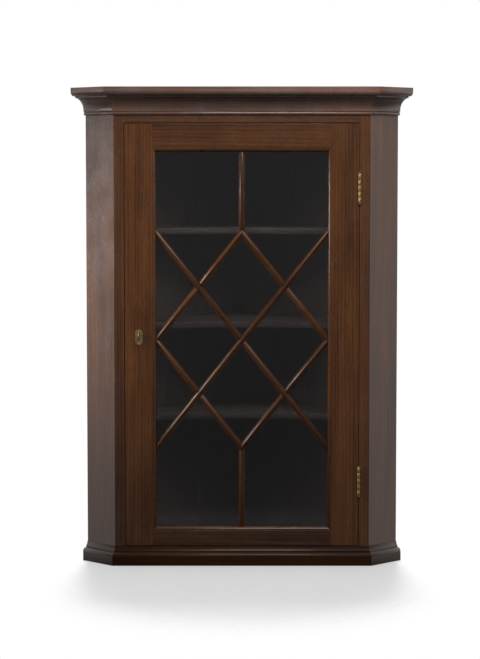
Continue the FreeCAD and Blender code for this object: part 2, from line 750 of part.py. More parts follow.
def lattice():
    """Glazing bars: two long diagonals, four cranked shorter ones and two uprights."""
    run, rise, zero = s.lattice_run, s.lattice_rise, Size.of(0)
    along, climb = run / s.lattice_edge, rise / s.lattice_edge
    half = s.bar_width / 2
    right_edge, left_edge = ((run * 2, zero), (1, 0)), ((run * -2, zero), (-1, 0))
    rising = glazing_bar("bar_rising", (run * -2, rise * -2), (run * 2, rise * 2),
                         (along, climb), s.lattice_edge * 4, [left_edge, right_edge])
    keep(rising, "glazing_bar_rising")
    past = (climb, -along)
    near = (past[0] * -half, past[1] * -half)
    far = (past[0] * half, past[1] * half)
    falling = [
        glazing_bar("bar_falling_upper", (run * -2, rise * 2), (zero, zero), (along, -climb),
                    s.lattice_edge * 2, [left_edge, (near, past)]),
        glazing_bar("bar_falling_lower", (zero, zero), (run * 2, rise * -2), (along, -climb),
                    s.lattice_edge * 2, [(far, (-past[0], -past[1])), right_edge])]
    keep(group("glazing_bar_falling", falling), "glazing_bar_falling")
    for level, up in (("upper", 1), ("lower", -1)):
        for side, out in (("left", -1), ("right", 1)):
            name = f"{level}_{side}"
            edge = (run * (2 * out), zero)
            joint = (run * out, rise * up)
            peak = (zero, rise * (2 * up))
            way = (along * -out, climb * up)
            past = (climb * -out, along * up)
            near = (joint[0] - past[0] * half, joint[1] - past[1] * half)
            far = (joint[0] + past[0] * half, joint[1] + past[1] * half)
            outer = glazing_bar(f"bar_{name}_outer", edge, joint, way, s.lattice_edge,
                                [(near, past), (edge, (out, 0)), (edge, (0, -up))])
            inner = glazing_bar(f"bar_{name}_inner", joint, peak, way, s.lattice_edge,
                                [(far, (-past[0], -past[1])), (peak, (-out, 0))])
            keep(group(f"glazing_bar_{name}", [outer, inner]), f"glazing_bar_{name}")
    for level, up in (("upper", 1), ("lower", -1)):
        start, end = (zero, rise * (2 * up)), (zero, s.sight_rise * up)
        length = s.sight_rise - rise * 2
        bar = glazing_bar(f"bar_{level}_upright", start, end, (zero, Size.of(up)), length,
                          [(end, (0, up))])
        tip = half * s.lattice_edge / run - length / 2
        low = tip - s.bar_spare * s.slope
        sketch = new_sketch(bar, "XY_Plane")
        draw(sketch, [(tip, 0), (low, -s.bar_spare), (low, s.bar_spare)])
        pocket(bar, sketch)
        keep(bar, f"glazing_bar_{level}_upright")


def pane_outlines(inset, lap):
    """Outline of each pane, inset from the bar lines and lapped behind the sight moulding."""
    run, rise = s.lattice_run, s.lattice_rise
    shift, lift = inset * s.lattice_edge / rise, inset * s.lattice_edge / run
    edge, top = run * 2 + lap, s.sight_rise + lap
    outlines = {"top": [], "bottom": [], "diamond": [], "side_triangle": []}
    wide, tall = run - shift, rise - lift
    for name, up in (("top", 1), ("bottom", -1)):
        for out in (-1, 1):
            outlines[name].append([
                (edge * out, top * up), (inset * out, top * up),
                (inset * out, (rise * 2 - inset * s.slope + lift) * up),
                (run * out, (rise + lift) * up),
                (edge * out, (edge * s.slope + lift) * up)])
            reach = (run + lap - shift) * s.slope
            outlines["side_triangle"].append([
                ((run + shift) * out, rise * up), (edge * out, rise * up + reach),
                (edge * out, rise * up - reach)])
        for x, z in ((Size.of(0), rise * up), (run * up, Size.of(0))):
            outlines["diamond"].append(
                [(x - wide, z), (x, z - tall), (x + wide, z), (x, z + tall)])
    return outlines


def panes():
    """Glass panes in groups of one shape, and the putty that beds them from behind."""
    glass = pane_outlines(s.pane_inset, s.pane_lap)
    inside = pane_outlines(s.pane_inset + s.putty_width, s.pane_lap - s.putty_width)
    putty = []
    for kind, outlines in glass.items():
        members = []
        for number, outline in enumerate(outlines):
            pane = prism(f"{kind}_pane_{number}", [outline], s.glass_thickness)
            members.append(place(pane, 0, s.front_y + s.glass_depth + s.glass_thickness,
                                 s.sight_middle, IN_DOOR))
            ring = prism(f"{kind}_putty_{number}", [outline, inside[kind][number]], s.putty_depth)
            putty.append(place(ring, 0, s.front_y + s.glass_depth + s.glass_thickness
                               + s.putty_depth, s.sight_middle, IN_DOOR))
        keep(group(f"{kind}_panes", members), f"{kind}_panes")
    keep(group("glazing_putty", putty), "glazing_putty")


# Hinges on the right: knuckles stand in front of the frame, leaves are let into the wood

HINGES = (("lower", s.door_bottom + s.hinge_inset),
          ("upper", s.door_top - s.hinge_inset - s.hinge_length))


def screw_spots():
    """Height and depth of each hinge screw."""
    depth = s.front_y + s.screw_inset
    return [(level + s.hinge_length / 2 + s.screw_spacing * step, depth)
            for hinge, level in HINGES for step in (-1, 0, 1)]


def hinge_cuts(label, face, sign):
    """Recesses for the leaves and pilot holes for their screws, from a face along X."""
    tools = []
    slack = s.joint_clearance
    x = face if sign > 0 else face - s.leaf_thickness
    for hinge, level in HINGES:
        tools.append(box(f"{label}_{hinge}_recess", x, s.front_y, level - slack,
                         s.leaf_thickness, s.leaf_width + slack, s.hinge_length + slack * 2))
    for z, y in screw_spots():
        tools.append(rod(f"{label}_pilot", face + s.leaf_thickness * sign, y, z, ACROSS * sign,
                         s.screw_radius + s.screw_clearance, s.screw_length + slack))
    return tools


def hinge_leaf(label, face, sign, level, own):
    """One leaf with its own knuckles, bored for the pin and sunk for the screws."""
    step = (s.hinge_length + s.knuckle_gap) / KNUCKLES
    x = face if sign > 0 else face - s.leaf_thickness
    parts = [box(f"{label}_plate", x, s.front_y, level,
                 s.leaf_thickness, s.leaf_width, s.hinge_length)]
    for number in own:
        z = level + step * number
        height = step - s.knuckle_gap
        parts.append(rod(f"{label}_knuckle", s.hinge_x, s.hinge_y, z, UP,
                         s.knuckle_radius, height))
        parts.append(box(f"{label}_neck", x, s.hinge_y, z,
                         s.leaf_thickness, s.front_y - s.hinge_y, height))
    tools = [rod(f"{label}_bore", s.hinge_x, s.hinge_y, level, UP,
                 s.pin_radius + s.pin_running, s.hinge_length)]
    for z, y in screw_spots():
        tools.append(taper(f"{label}_sink", face, y, z, ACROSS * sign,
                           s.screw_head + s.screw_clearance,
                           s.screw_radius + s.screw_clearance, s.leaf_thickness))
    keep(cut(label, fuse(label + "_blank", parts), tools), label)


def hinges():
    """Two butt hinges: leaves, pins with button ends, and screws."""
    pins = []
    for hinge, level in HINGES:
        hinge_leaf(f"{hinge}_hinge_case_leaf", s.opening_half, 1, level, range(0, KNUCKLES, 2))
        hinge_leaf(f"{hinge}_hinge_door_leaf", s.door_half, -1, level, range(1, KNUCKLES, 2))
        label = f"{hinge}_hinge_pin"
        stem = rod(label + "_stem", s.hinge_x, s.hinge_y, level, UP, s.pin_radius, s.hinge_length)
        foot = rod(label + "_foot", s.hinge_x, s.hinge_y, level - s.pin_head_height, UP,
                   s.pin_head, s.pin_head_height)
        head = rod(label + "_head", s.hinge_x, s.hinge_y, level + s.hinge_length, UP,
                   s.pin_head, s.pin_head_height)
        pins.append(fuse(label, [stem, foot, head]))
    keep(group("hinge_pins", pins), "hinge_pins")
    for label, face, sign in (("hinge_case_screws", s.opening_half, 1),
                              ("hinge_door_screws", s.door_half, -1)):
        screws = []
        for number, (z, y) in enumerate(screw_spots()):
            name = f"{label}_{number}"
            head = taper(name + "_head", face, y, z, ACROSS * sign,
                         s.screw_head, s.screw_radius, s.leaf_thickness)
            shank = rod(name + "_shank", face + s.leaf_thickness * sign, y, z, ACROSS * sign,
                        s.screw_radius, s.screw_length)
            screws.append(fuse(name, [head, shank]))
        keep(group(label, screws), label)


# Lock on the left: the key's bit turns in a notch of the bolt and slides it behind the stile

def keyhole(label, y, depth):
    """Round hole for the key's shank with a slot below it, through a thickness."""
    slot = s.keyhole_slot_width
    return [rod(f"{label}_keyhole", s.key_x, y, s.lock_level, DEEP,
                s.key_radius + s.bolt_clearance, depth),
            box(f"{label}_slot", s.key_x - slot / 2, y, s.lock_level - s.keyhole_slot,
                slot, depth, s.keyhole_slot)]


def lock_spots():
    """Places of the four lock screws in the plate's flanges."""
    columns = (s.lock_x + s.lock_flange, s.lock_x + s.lock_width - s.lock_flange)
    rows = (s.lock_level - s.lock_below - s.lock_flange / 2,
            s.lock_level + s.lock_above + s.lock_flange / 2)
    return [(x, z) for x in columns for z in rows]


def lock_pilots(label):
    """Pilot holes for the lock screws, from the back of the door."""
    return [rod(f"{label}_lock_pilot", x, s.lock_y, z, -DEEP,
                s.screw_radius + s.screw_clearance, s.screw_length + s.joint_clearance)
            for x, z in lock_spots()]


def lock():
    """Lock case on its plate, bolt, screws and the striking plate behind the front stile."""
    wall = s.lock_wall
    tall = s.lock_above + s.lock_below
    floor = s.lock_level - s.lock_below
    plate = box("lock_plate", s.lock_x, s.lock_y, floor - s.lock_flange,
                s.lock_width, wall, tall + s.lock_flange * 2)
    shell = box("lock_shell", s.lock_x, s.lock_y, floor, s.lock_width, s.lock_depth, tall)
    bolt_z = s.lock_level + s.bolt_rise
    slack = s.bolt_clearance
    tools = [
        box("lock_hollow", s.lock_x + wall, s.lock_y + wall, floor + wall,
            s.lock_width - wall * 2, s.lock_depth - wall * 2, tall - wall * 2),
        box("lock_mouth", s.lock_x, s.bolt_y - slack, bolt_z - slack,
            wall, s.bolt_thickness + slack * 2, s.bolt_height + slack * 2)]
    tools += keyhole("lock_case", s.lock_y, wall)
    tools += [rod("lock_screw_hole", x, s.lock_y, z, DEEP,
                  s.screw_radius + s.screw_clearance, wall) for x, z in lock_spots()]
    keep(cut("lock_case", fuse("lock_blank", [plate, shell]), tools), "lock_case")
    bar = box("bolt_bar", s.lock_x, s.bolt_y, bolt_z,
              s.bolt_length, s.bolt_thickness, s.bolt_height)
    notch = box("bolt_notch", s.key_x + slack, s.bolt_y, bolt_z, s.key_bit - slack * 2,
                s.bolt_thickness, s.key_bit - s.bolt_rise + slack * 2)
    keep(cut("lock_bolt", bar, [notch]), "lock_bolt")
    screws = []
    for number, (x, z) in enumerate(lock_spots()):
        face = s.lock_y + wall
        head = rod(f"lock_screw_head_{number}", x, face, z, DEEP,
                   s.screw_head, s.screw_head_height)
        shank = rod(f"lock_screw_shank_{number}", x, face, z, -DEEP,
                    s.screw_radius, s.screw_length + wall)
        screws.append(fuse(f"lock_screw_{number}", [head, shank]))
    keep(group("lock_screws", screws), "lock_screws")
    keep(box("strike_plate", -s.opening_half - s.strike_width, s.front_y + s.frame_thickness,
             bolt_z - s.bolt_rise, s.strike_width, s.plate_thickness,
             s.bolt_height + s.bolt_rise * 2), "strike_plate")


def key():
    """Key with a ring bow, a collar and a bit, standing in the lock unturned."""
    front = s.front_y - s.key_reach
    ring_y = front + s.bow_radius + s.bow_wire
    bow = doc.addObject("Part::Torus", "key_bow")
    bind(bow, Radius1=s.bow_radius, Radius2=s.bow_wire)
    place(bow, s.key_x, ring_y, s.lock_level, Rotation(UP, ACROSS))
    start = ring_y + s.bow_radius
    end = s.lock_y + s.lock_depth - s.lock_wall - s.bolt_clearance
    shank = rod("key_shank", s.key_x, start, s.lock_level, DEEP, s.key_radius, end - start)
    collar = rod("key_collar", s.key_x, start, s.lock_level, DEEP,
                 s.collar_radius, s.collar_length)
    thick = s.key_bit_thickness
    bit = box("key_bit", s.key_x - thick / 2 * ROOT_HALF, s.bolt_y + s.bolt_clearance,
              s.lock_level + thick / 2 * ROOT_HALF, thick,
              s.bolt_thickness - s.bolt_clearance * 2, s.key_bit, Rotation(DEEP, 45))
    keep(fuse("key", [bow, shank, collar, bit]), "key")


def escutcheon():
    """Round-ended brass plate round the keyhole."""
    half = s.plate_half_width
    straight = s.plate_half_height - half
    outline = [(half, -straight), (half, straight, half, 1), (0, s.plate_half_height, half, 1),
               (-half, straight), (-half, -straight, half, 1), (0, -s.plate_half_height, half, 1)]
    plate = prism("escutcheon_plate", [outline], s.plate_thickness)
    place(plate, s.key_x, s.front_y, s.lock_level - s.keyhole_slot / 2, IN_DOOR)
    keep(cut("escutcheon", plate,
             keyhole("escutcheon", s.front_y - s.plate_thickness, s.plate_thickness)),
         "escutcheon")


def write_parts():
    """Check every object and write each sub-part to its own file."""
    doc.recompute()
    for item in doc.Objects:
        if "Invalid" in item.State or "Error" in item.State:
            raise RuntimeError(f"{item.Label} failed")
    for node in nodes:
        if node.Shape.isNull() or not node.Shape.isValid():
            raise RuntimeError(f"{node.Label} has no valid shape")
    os.makedirs("parts", exist_ok=True)
    for node in nodes:
        node.Shape.exportStep(f"parts/{node.Label}.step")


carcase_boards()
backboards()
hanging_rails()
canted_sides()
front_stiles()
front_rails()
door_stop()
mitred_run("cornice", cornice_outline(), s.cornice_projection, s.cornice_level)
mitred_run("base_moulding", base_outline(), s.base_projection, Size.of(0))
glue_blocks()
shelves()
shelf_bearers()
door_stiles()
door_rails()
sight_moulding()
lattice()
panes()
hinges()
lock()
key()
escutcheon()
write_parts()
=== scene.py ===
"""Hanging corner cupboard: polished wood, glazing, fittings and a studio stage.

Lengths are in metres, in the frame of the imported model: +Z is up and the door faces -Y.
"""
import math

import bpy
import numpy as np
from bpy.props import FloatProperty, FloatVectorProperty, IntProperty, PointerProperty
from bpy.types import Node, NodeSocket, Operator, Panel, PropertyGroup
from mathutils import Euler, Matrix, Vector


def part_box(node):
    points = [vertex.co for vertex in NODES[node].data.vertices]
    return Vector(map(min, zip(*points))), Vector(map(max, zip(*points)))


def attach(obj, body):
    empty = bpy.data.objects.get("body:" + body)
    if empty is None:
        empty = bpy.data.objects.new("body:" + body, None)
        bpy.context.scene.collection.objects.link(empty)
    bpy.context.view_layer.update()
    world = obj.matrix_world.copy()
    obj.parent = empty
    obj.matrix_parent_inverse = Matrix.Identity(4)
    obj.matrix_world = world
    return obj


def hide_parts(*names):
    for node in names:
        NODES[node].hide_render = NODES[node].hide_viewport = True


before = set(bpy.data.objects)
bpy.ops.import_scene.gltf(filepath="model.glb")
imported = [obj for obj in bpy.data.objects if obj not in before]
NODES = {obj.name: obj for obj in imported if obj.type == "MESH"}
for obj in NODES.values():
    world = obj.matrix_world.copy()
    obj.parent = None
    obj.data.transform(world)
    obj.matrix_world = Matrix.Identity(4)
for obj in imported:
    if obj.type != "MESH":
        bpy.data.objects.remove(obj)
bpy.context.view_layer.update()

bl_info = {
    "name": "Hanging corner cupboard",
    "version": (1, 0, 0),
    "blender": (4, 5, 0),
    "location": "View3D > Sidebar > Cupboard",
    "description": "Finishes, small fasteners and stage of a glazed hanging corner cupboard",
    "category": "Object",
}

# Directions in the model's frame; the canted side at the end of a wall faces along that wall
UP = Vector((0, 0, 1))
ACROSS = Vector((1, 0, 0))
FRONT = Vector((0, -1, 0))
ROOT_HALF = math.sqrt(0.5)
LEFT_WALL = Vector((-ROOT_HALF, -ROOT_HALF, 0))
RIGHT_WALL = Vector((ROOT_HALF, -ROOT_HALF, 0))

# Backs: side, direction along the wall from the rear corner, and direction into the case
WALLS = (("left", LEFT_WALL, RIGHT_WALL), ("right", RIGHT_WALL, LEFT_WALL))
BACKBOARDS = (1, 2, 3)
REAR_CORNER = Vector((0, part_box("left_backboard_1")[1].y, 0))
BACK_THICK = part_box("left_backboard_1")[1].x / ROOT_HALF

# The long bars of the lattice run from corner to corner of their boxes
BAR_LOW, BAR_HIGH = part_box("glazing_bar_rising")
RISING = Vector((BAR_HIGH.x - BAR_LOW.x, 0, BAR_HIGH.z - BAR_LOW.z)).normalized()
FALLING = Vector((RISING.x, 0, -RISING.z))

# Blender's wave texture turns through so many radians in one unit
WAVE_RADIANS = 20
# Sideways slope of the fibres as a share of their slope to the face
SIDE_TILT = 0.6
# Distance along the tree from one board to the next
TREE_STEP = 0.61

# Corners nearer than this belong together, and edges that turn more than this are softened
JOIN_REACH = 2e-5
SHARP_TURN = math.radians(35)

# Screws: angle of the first slot and turn to the next in radians, where in its head's depth the
# shank starts, and how many there are in a hinge leaf
FIRST_SLOT = 0.7
SLOT_TURN = 2.4
SHANK_IN_HEAD = 0.9
HINGE_ROWS = 3

# Points round the oval of the floor
FLOOR_POINTS = 96

# Surround by the height of a direction, from -1 straight down to 1 straight up, and by its depth,
# from -1 straight to the front to 1 straight back: where each change starts and ends
ROOM_RISE = (-0.126, 0.0)
GROUND_FALL = (-0.125, -0.165)
GROUND_TO_ROOM = (-0.45, -0.10)
ROOM_TO_WHITE = (-0.58, 0.0)

# Lamps: size, place and aim
LAMPS = {
    "key_lamp": ((1.2, 0.7), (0.28, -1.20, 1.85), (0.02, -0.15, 0.75)),
    "side_lamp": ((0.6, 0.4), (-1.10, -0.40, 0.86), (-0.33, -0.13, 0.62)),
    "top_light": ((2.6, 7.4), (0, 9.2, 18.0), (0, 0, 0)),
}


def colour(name, description, default):
    """Colour property in linear light."""
    return FloatVectorProperty(name=name, description=description, subtype="COLOR",
                               size=3, min=0, max=1, default=default)


def length(name, description, default):
    """Length property in metres."""
    return FloatProperty(name=name, description=description, default=default, unit="LENGTH",
                         subtype="DISTANCE", precision=5)


def share(name, description, default):
    """Plain number from 0 to 1."""
    return FloatProperty(name=name, description=description, default=default, min=0, max=1,
                         subtype="FACTOR")


def angle(name, description, degrees):
    """Angle property, given in degrees."""
    return FloatProperty(name=name, description=description, default=math.radians(degrees),
                         subtype="ANGLE")


def power(name, description, default):
    """Power of a lamp in watts."""
    return FloatProperty(name=name, description=description, default=default, min=0, unit="POWER")


class CupboardPolish(PropertyGroup):
    """Polished wood of the front, the mouldings and the door."""
    dark: colour("Dark grain", "Late wood and shaded figure", (0.028, 0.0088, 0.0026))
    middle: colour("Wood", "Main colour of the polished wood", (0.064, 0.0215, 0.0050))
    light: colour("Light grain", "Early wood and bright ribbon", (0.110, 0.0385, 0.0092))
    pore: colour("Pores", "Open pores filled with old polish", (0.012, 0.0045, 0.0022))
    worn: colour("Worn edge", "Wood bared at rubbed edges", (0.150, 0.0680, 0.0290))
    # Grime colour: partly old wax and dust, partly painted shade laid in the inner corners
    grime_and_shade: colour("Grime", "Old wax and dust in the corners", (0.016, 0.0085, 0.0050))
    # Pale haze: partly a bloomed polish, partly a painted sheen of the white surround
    bloom_and_sheen: colour("Bloom", "Pale haze in polish that has caught damp and dust", (0.140, 0.121, 0.124))
    gloss: share("Roughness", "Roughness of the polish", 0.21)
    ring: length("Ring spacing", "Distance between growth rings", 0.0075)
    edge: length("Edge", "Softened edge of each piece", 0.0005)


class CupboardBacks(PropertyGroup):
    """Plain softwood of the backs, boards and blocks, and the shelves."""
    dark: colour("Dark grain", "Late wood of the softwood", (0.060, 0.0290, 0.0125))
    middle: colour("Softwood", "Main colour of the aged softwood", (0.125, 0.0660, 0.0300))
    light: colour("Light grain", "Early wood of the softwood", (0.190, 0.1080, 0.0520))
    # Also laid in the inner corners of the boards as painted shade
    knot: colour("Knots", "Knots and their rings", (0.030, 0.0130, 0.0060))
    dust: colour("Dust", "Dust on upward faces", (0.230, 0.2050, 0.1700))
    # Darker colour laid on the inner faces of the boards
    inner_colour: colour("Inside wash", "Dark wash on the inner faces", (0.0245, 0.0185, 0.0182))
    inner_colour_cover: share("Wash cover", "How much of the wood the wash hides", 0.90)
    shelf_dark: colour("Shelf dark grain", "Late wood of the shelves", (0.0085, 0.0048, 0.0035))
    shelf_light: colour("Shelf light grain", "Early wood of the shelves", (0.0235, 0.0141, 0.0100))
    ring: length("Ring spacing", "Distance between growth rings", 0.0090)
    edge: length("Edge", "Softened edge of each board", 0.0008)
    slip: length("Slip depth", "Depth of the slips in the joints of the back", 0.0075)


class CupboardGlazing(PropertyGroup):
    """Old window glass and the putty that beds it."""
    tint: colour("Glass", "What the glass lets through", (0.86, 0.852, 0.86))
    ripple: share("Ripple", "Unevenness of the old glass", 0.10)
    putty: colour("Putty", "Hardened putty, stained with the frame", (0.085, 0.0560, 0.0340))
    putty_pale: colour("Chalky putty", "Dry patches of the putty", (0.170, 0.1300, 0.0900))
    fillet: length("Putty slope", "Sloped edge of the putty", 0.0008)


class CupboardFittings(PropertyGroup):
    """Hinges, lock, key, plates, screws and nails."""
    brass: colour("Brass", "Rubbed brass", (0.560, 0.380, 0.130))
    tarnish: colour("Tarnish", "Brown film on the brass", (0.140, 0.085, 0.032))
    steel: colour("Iron", "Rubbed iron", (0.260, 0.250, 0.240))
    rust: colour("Rust", "Brown oxide on the iron", (0.060, 0.032, 0.018))
    edge: length("Edge", "Softened edge of the metal", 0.0002)
    screw_head: length("Screw head", "Radius of a screw head", 0.0032)
    screw_shank: length("Screw shank", "Radius of a screw under its head", 0.0016)
    screw_spacing: length("Screw spacing", "Between screws along a hinge leaf", 0.022)
    screw_length: length("Screw length", "Screw under its head", 0.013)
    slot_width: length("Slot", "Width of a screw's slot", 0.0009)
    lock_plate: length("Lock plate", "Thickness of the lock under its screw heads", 0.0015)
    lock_head: length("Lock screw head", "Depth of a lock screw's head below its rim", 0.0012)
    lock_foot: share("Lock screw foot", "Foot of a lock screw's head as a share of its rim", 0.9)
    nail_head: length("Nail head", "Radius of a nail head", 0.0034)
    nail_crown: length("Nail crown", "Height of a nail head", 0.0006)
    nail_skirt: length("Nail skirt", "Rim of a nail head sunk in the wood", 0.0008)
    nail_inset: length("Nail inset", "Nails from the edge of their board", 0.026)
    nail_drop: length("Nail drop", "Nails below the underside of a shelf", 0.009)
    nail_stray: length("Nail stray", "How far nails stray from their row", 0.002)
    pin_head: length("Plate pin", "Radius of the pins in the keyhole plate", 0.0012)
    pin_skirt: length("Pin skirt", "Rim of a pin sunk in the plate", 0.0003)
    pin_inset: length("Pin inset", "Pins from the ends of the keyhole plate", 0.0035)
    turns: IntProperty(name="Facets", description="Points round a screw or nail", default=24, min=8)


class CupboardStage(PropertyGroup):
    """Camera, floor and light."""
    distance: length("Distance", "Camera to the front of the cupboard", 4.70)
    height: length("Height", "Camera above the floor", 0.874)
    aside: length("Aside", "Camera to the right of the middle", -0.0041)
    pitch: angle("Pitch", "Camera turned down", 4.29)
    lens: FloatProperty(name="Lens", description="Focal length in millimetres", default=117.4,
                        unit="CAMERA")
    floor: colour("Floor", "Paper that the cupboard stands on", (0.42, 0.42, 0.42))
    floor_bounce: colour("Floor bounce", "Light that the paper throws up", (0.10, 0.10, 0.10))
    floor_wide: length("Floor width", "Half width of the paper", 0.50)
    floor_deep: length("Floor depth", "Half depth of the paper", 0.78)
    floor_ahead: length("Floor ahead", "Middle of the paper in front of the cupboard's middle", 0.22)
    floor_gap: length("Floor gap", "Paper below the foot of the cupboard", 0.0004)
    floor_fade: share("Floor fade", "Where the paper starts to fade on the way to its rim", 0.60)
    floor_gleam: share("Floor gleam", "How much of the paper's white the polish mirrors", 0.15)
    lift: share("Floor lift", "White added to the floor where it is seen", 0.43)
    key: power("Key lamp", "Power of the lamp above the front", 30)
    side: power("Side lamp", "Power of the lamp on the left", 1.5)
    side_beam: angle("Side beam", "Angle of the beam from the lamp on the left", 45)
    top: power("Top light", "Power of the far lamp on the floor, from above the back", 3700)
    room: share("Room", "Brightness of the room in front, at eye level", 0.20)
    room_low: share("Low room", "Brightness of the room in front, near the ground", 0.115)
    ground: share("Ground", "Brightness of the ground in front of the paper", 0.16)


class Recipe:
    """Nodes of a material or a world in the making."""

    def __init__(self, owner):
        """Empty node tree of a new material or world."""
        owner.use_nodes = True
        self.owner = owner
        self.tree = owner.node_tree
        self.tree.nodes.clear()

    def feed(self, socket, value):
        """Link from a node or an output, or a plain value on the socket; colours are opaque."""
        if isinstance(value, Node):
            value = value.outputs[0]
        if isinstance(value, NodeSocket):
            self.tree.links.new(value, socket)
        elif socket.type == "RGBA":
            socket.default_value = (*value, 1.0)
        else:
            socket.default_value = value

    def add(self, kind, sockets, **options):
        """Node of a kind with its options, and values on its sockets by name or number."""
        node = self.tree.nodes.new("ShaderNode" + kind)
        for name, value in options.items():
            setattr(node, name, value)
        for key, value in sockets.items():
            self.feed(node.inputs[key], value)
        return node

    def here(self):
        """Coordinates of the piece itself, in metres."""
        return self.add("TexCoord", {}).outputs["Object"]

    def noise(self, vector, scale, detail, rough=0.5):
        """Soft noise with so many waves to a unit of its coordinates."""
        return self.add("TexNoise", {"Vector": vector, "Scale": scale, "Detail": detail,
                                     "Roughness": rough})

    def stretch(self, vector, x, y, z):
        """Coordinates drawn out by one number along each axis."""
        return self.add("VectorMath", {0: vector, 1: (x, y, z)}, operation="MULTIPLY")

    def streaks(self, space, across, along, detail, rough=0.5):
        """Noise with so many waves to a metre across Z, and so many along it."""
        return self.noise(self.stretch(space, across, across, along), 1.0, detail, rough)

    def spread(self, value, low, high, start=0.0, end=1.0, ease="LINEAR"):
        """Value taken from low..high to start..end, held at both ends."""
        return self.add("MapRange", {0: value, 1: low, 2: high, 3: start, 4: end},
                        interpolation_type=ease)

    def sums(self, operation, first, second, third=0.0):
        """Arithmetic on two numbers, or on three for MULTIPLY_ADD."""
        return self.add("Math", {0: first, 1: second, 2: third}, operation=operation)

    def weigh(self, *parts):
        """Sum of patterns, each given with its weight."""
        total = 0.0
        for pattern, weight in parts:
            total = self.sums("MULTIPLY_ADD", pattern, weight, total)
        return total

    def mix(self, factor, first, second):
        """Colour between two others."""
        node = self.add("Mix", {0: factor, 6: first, 7: second}, data_type="RGBA")
        return node.outputs[2]

    def ramp(self, value, places, tints):
        """Colours along a number, one at each place."""
        node = self.add("ValToRGB", {0: value})
        stops = node.color_ramp.elements
        while len(stops) < len(tints):
            stops.new(1.0)
        for stop, place, tint in zip(stops, places, tints):
            stop.position = place
            stop.color = (*tint, 1.0)
        return node

    def bump(self, height, strength, distance):
        """Normal of a surface with fine relief."""
        return self.add("Bump", {"Height": height, "Strength": strength, "Distance": distance})

    def edges(self, radius):
        """Mask of outer edges: the turn between the true face and a rounded one."""
        rounded = self.add("Bevel", {"Radius": radius}, samples=4)
        plain = self.add("NewGeometry", {}).outputs["Normal"]
        turn = self.add("VectorMath", {0: rounded, 1: plain}, operation="DOT_PRODUCT")
        return self.spread(turn.outputs["Value"], 0.985, 0.80)

    def corners(self, reach):
        """Mask of inner corners, where little light gets in."""
        open_sky = self.add("AmbientOcclusion", {"Distance": reach}, samples=6)
        return self.spread(open_sky.outputs["AO"], 0.80, 0.25)

    def in_sight(self):
        """1 for what the camera sees, straight or through clear glass only, and 0 for all else."""
        path = self.add("LightPath", {})
        turned = self.sums("ADD", path.outputs["Diffuse Depth"], path.outputs["Glossy Depth"])
        through = self.sums("MULTIPLY", path.outputs["Is Transmission Ray"],
                            self.sums("LESS_THAN", turned, 0.5))
        return self.sums("MAXIMUM", path.outputs["Is Camera Ray"], through)

    def finish(self, shader, output="OutputMaterial"):
        """Shader to the output, and the finished material or world."""
        self.add(output, {"Surface": shader})
        return self.owner


def middle_of(node):
    """Middle of a model piece's box."""
    low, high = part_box(node)
    return (low + high) / 2


def grain_space(recipe, node, along, face, heart, tilt=0.02):
    """Object coordinates turned so that a board's grain is Z and its face is Y, with a small
    run-out of the fibres, and moved so that the board's middle lies at a place in its tree."""
    level = (face - along * face.dot(along)).normalized()
    turn = Matrix((level.cross(along), level, along))
    turn = Euler((tilt, tilt * SIDE_TILT, 0)).to_matrix() @ turn
    return recipe.add("Mapping", {"Vector": recipe.here(), "Rotation": turn.to_euler(),
                                  "Location": Vector(heart) - turn @ middle_of(node)})


def mitred_space(recipe, node, heart):
    """Grain that runs up the sides of the door's sight and across its top and bottom."""
    upright = grain_space(recipe, node, UP, FRONT, heart)
    level = grain_space(recipe, node, ACROSS, FRONT, heart)
    low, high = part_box(node)
    half = (high - low) / 2
    place = recipe.add("VectorMath", {0: recipe.here(), 1: middle_of(node)}, operation="SUBTRACT")
    parts = recipe.add("SeparateXYZ", {0: recipe.add("VectorMath", {0: place}, operation="ABSOLUTE")})
    ahead = recipe.sums("SUBTRACT", parts.outputs["X"], parts.outputs["Z"])
    on_side = recipe.sums("GREATER_THAN", ahead, half.x - half.z)
    return recipe.add("Mix", {0: on_side, 4: level, 5: upright}, data_type="VECTOR").outputs[1]


def tree_rings(recipe, space, spacing, sway):
    """Growth rings about the tree's middle, swaying slowly along the grain."""
    wander = recipe.streaks(space, across=9, along=1.2, detail=3).outputs["Color"]
    near = recipe.add("VectorMath", {0: wander, 1: (0.03, 0.03, 0.0), 2: space}, operation="MULTIPLY_ADD")
    slow = recipe.stretch(near, 1.0, 1.0, 0.10)
    return recipe.add("TexWave", {"Vector": slow, "Scale": math.tau / WAVE_RADIANS / spacing,
                                  "Distortion": sway, "Detail": 2.0, "Detail Scale": 0.10},
                      wave_type="RINGS", rings_direction="Z", wave_profile="SIN").outputs["Fac"]


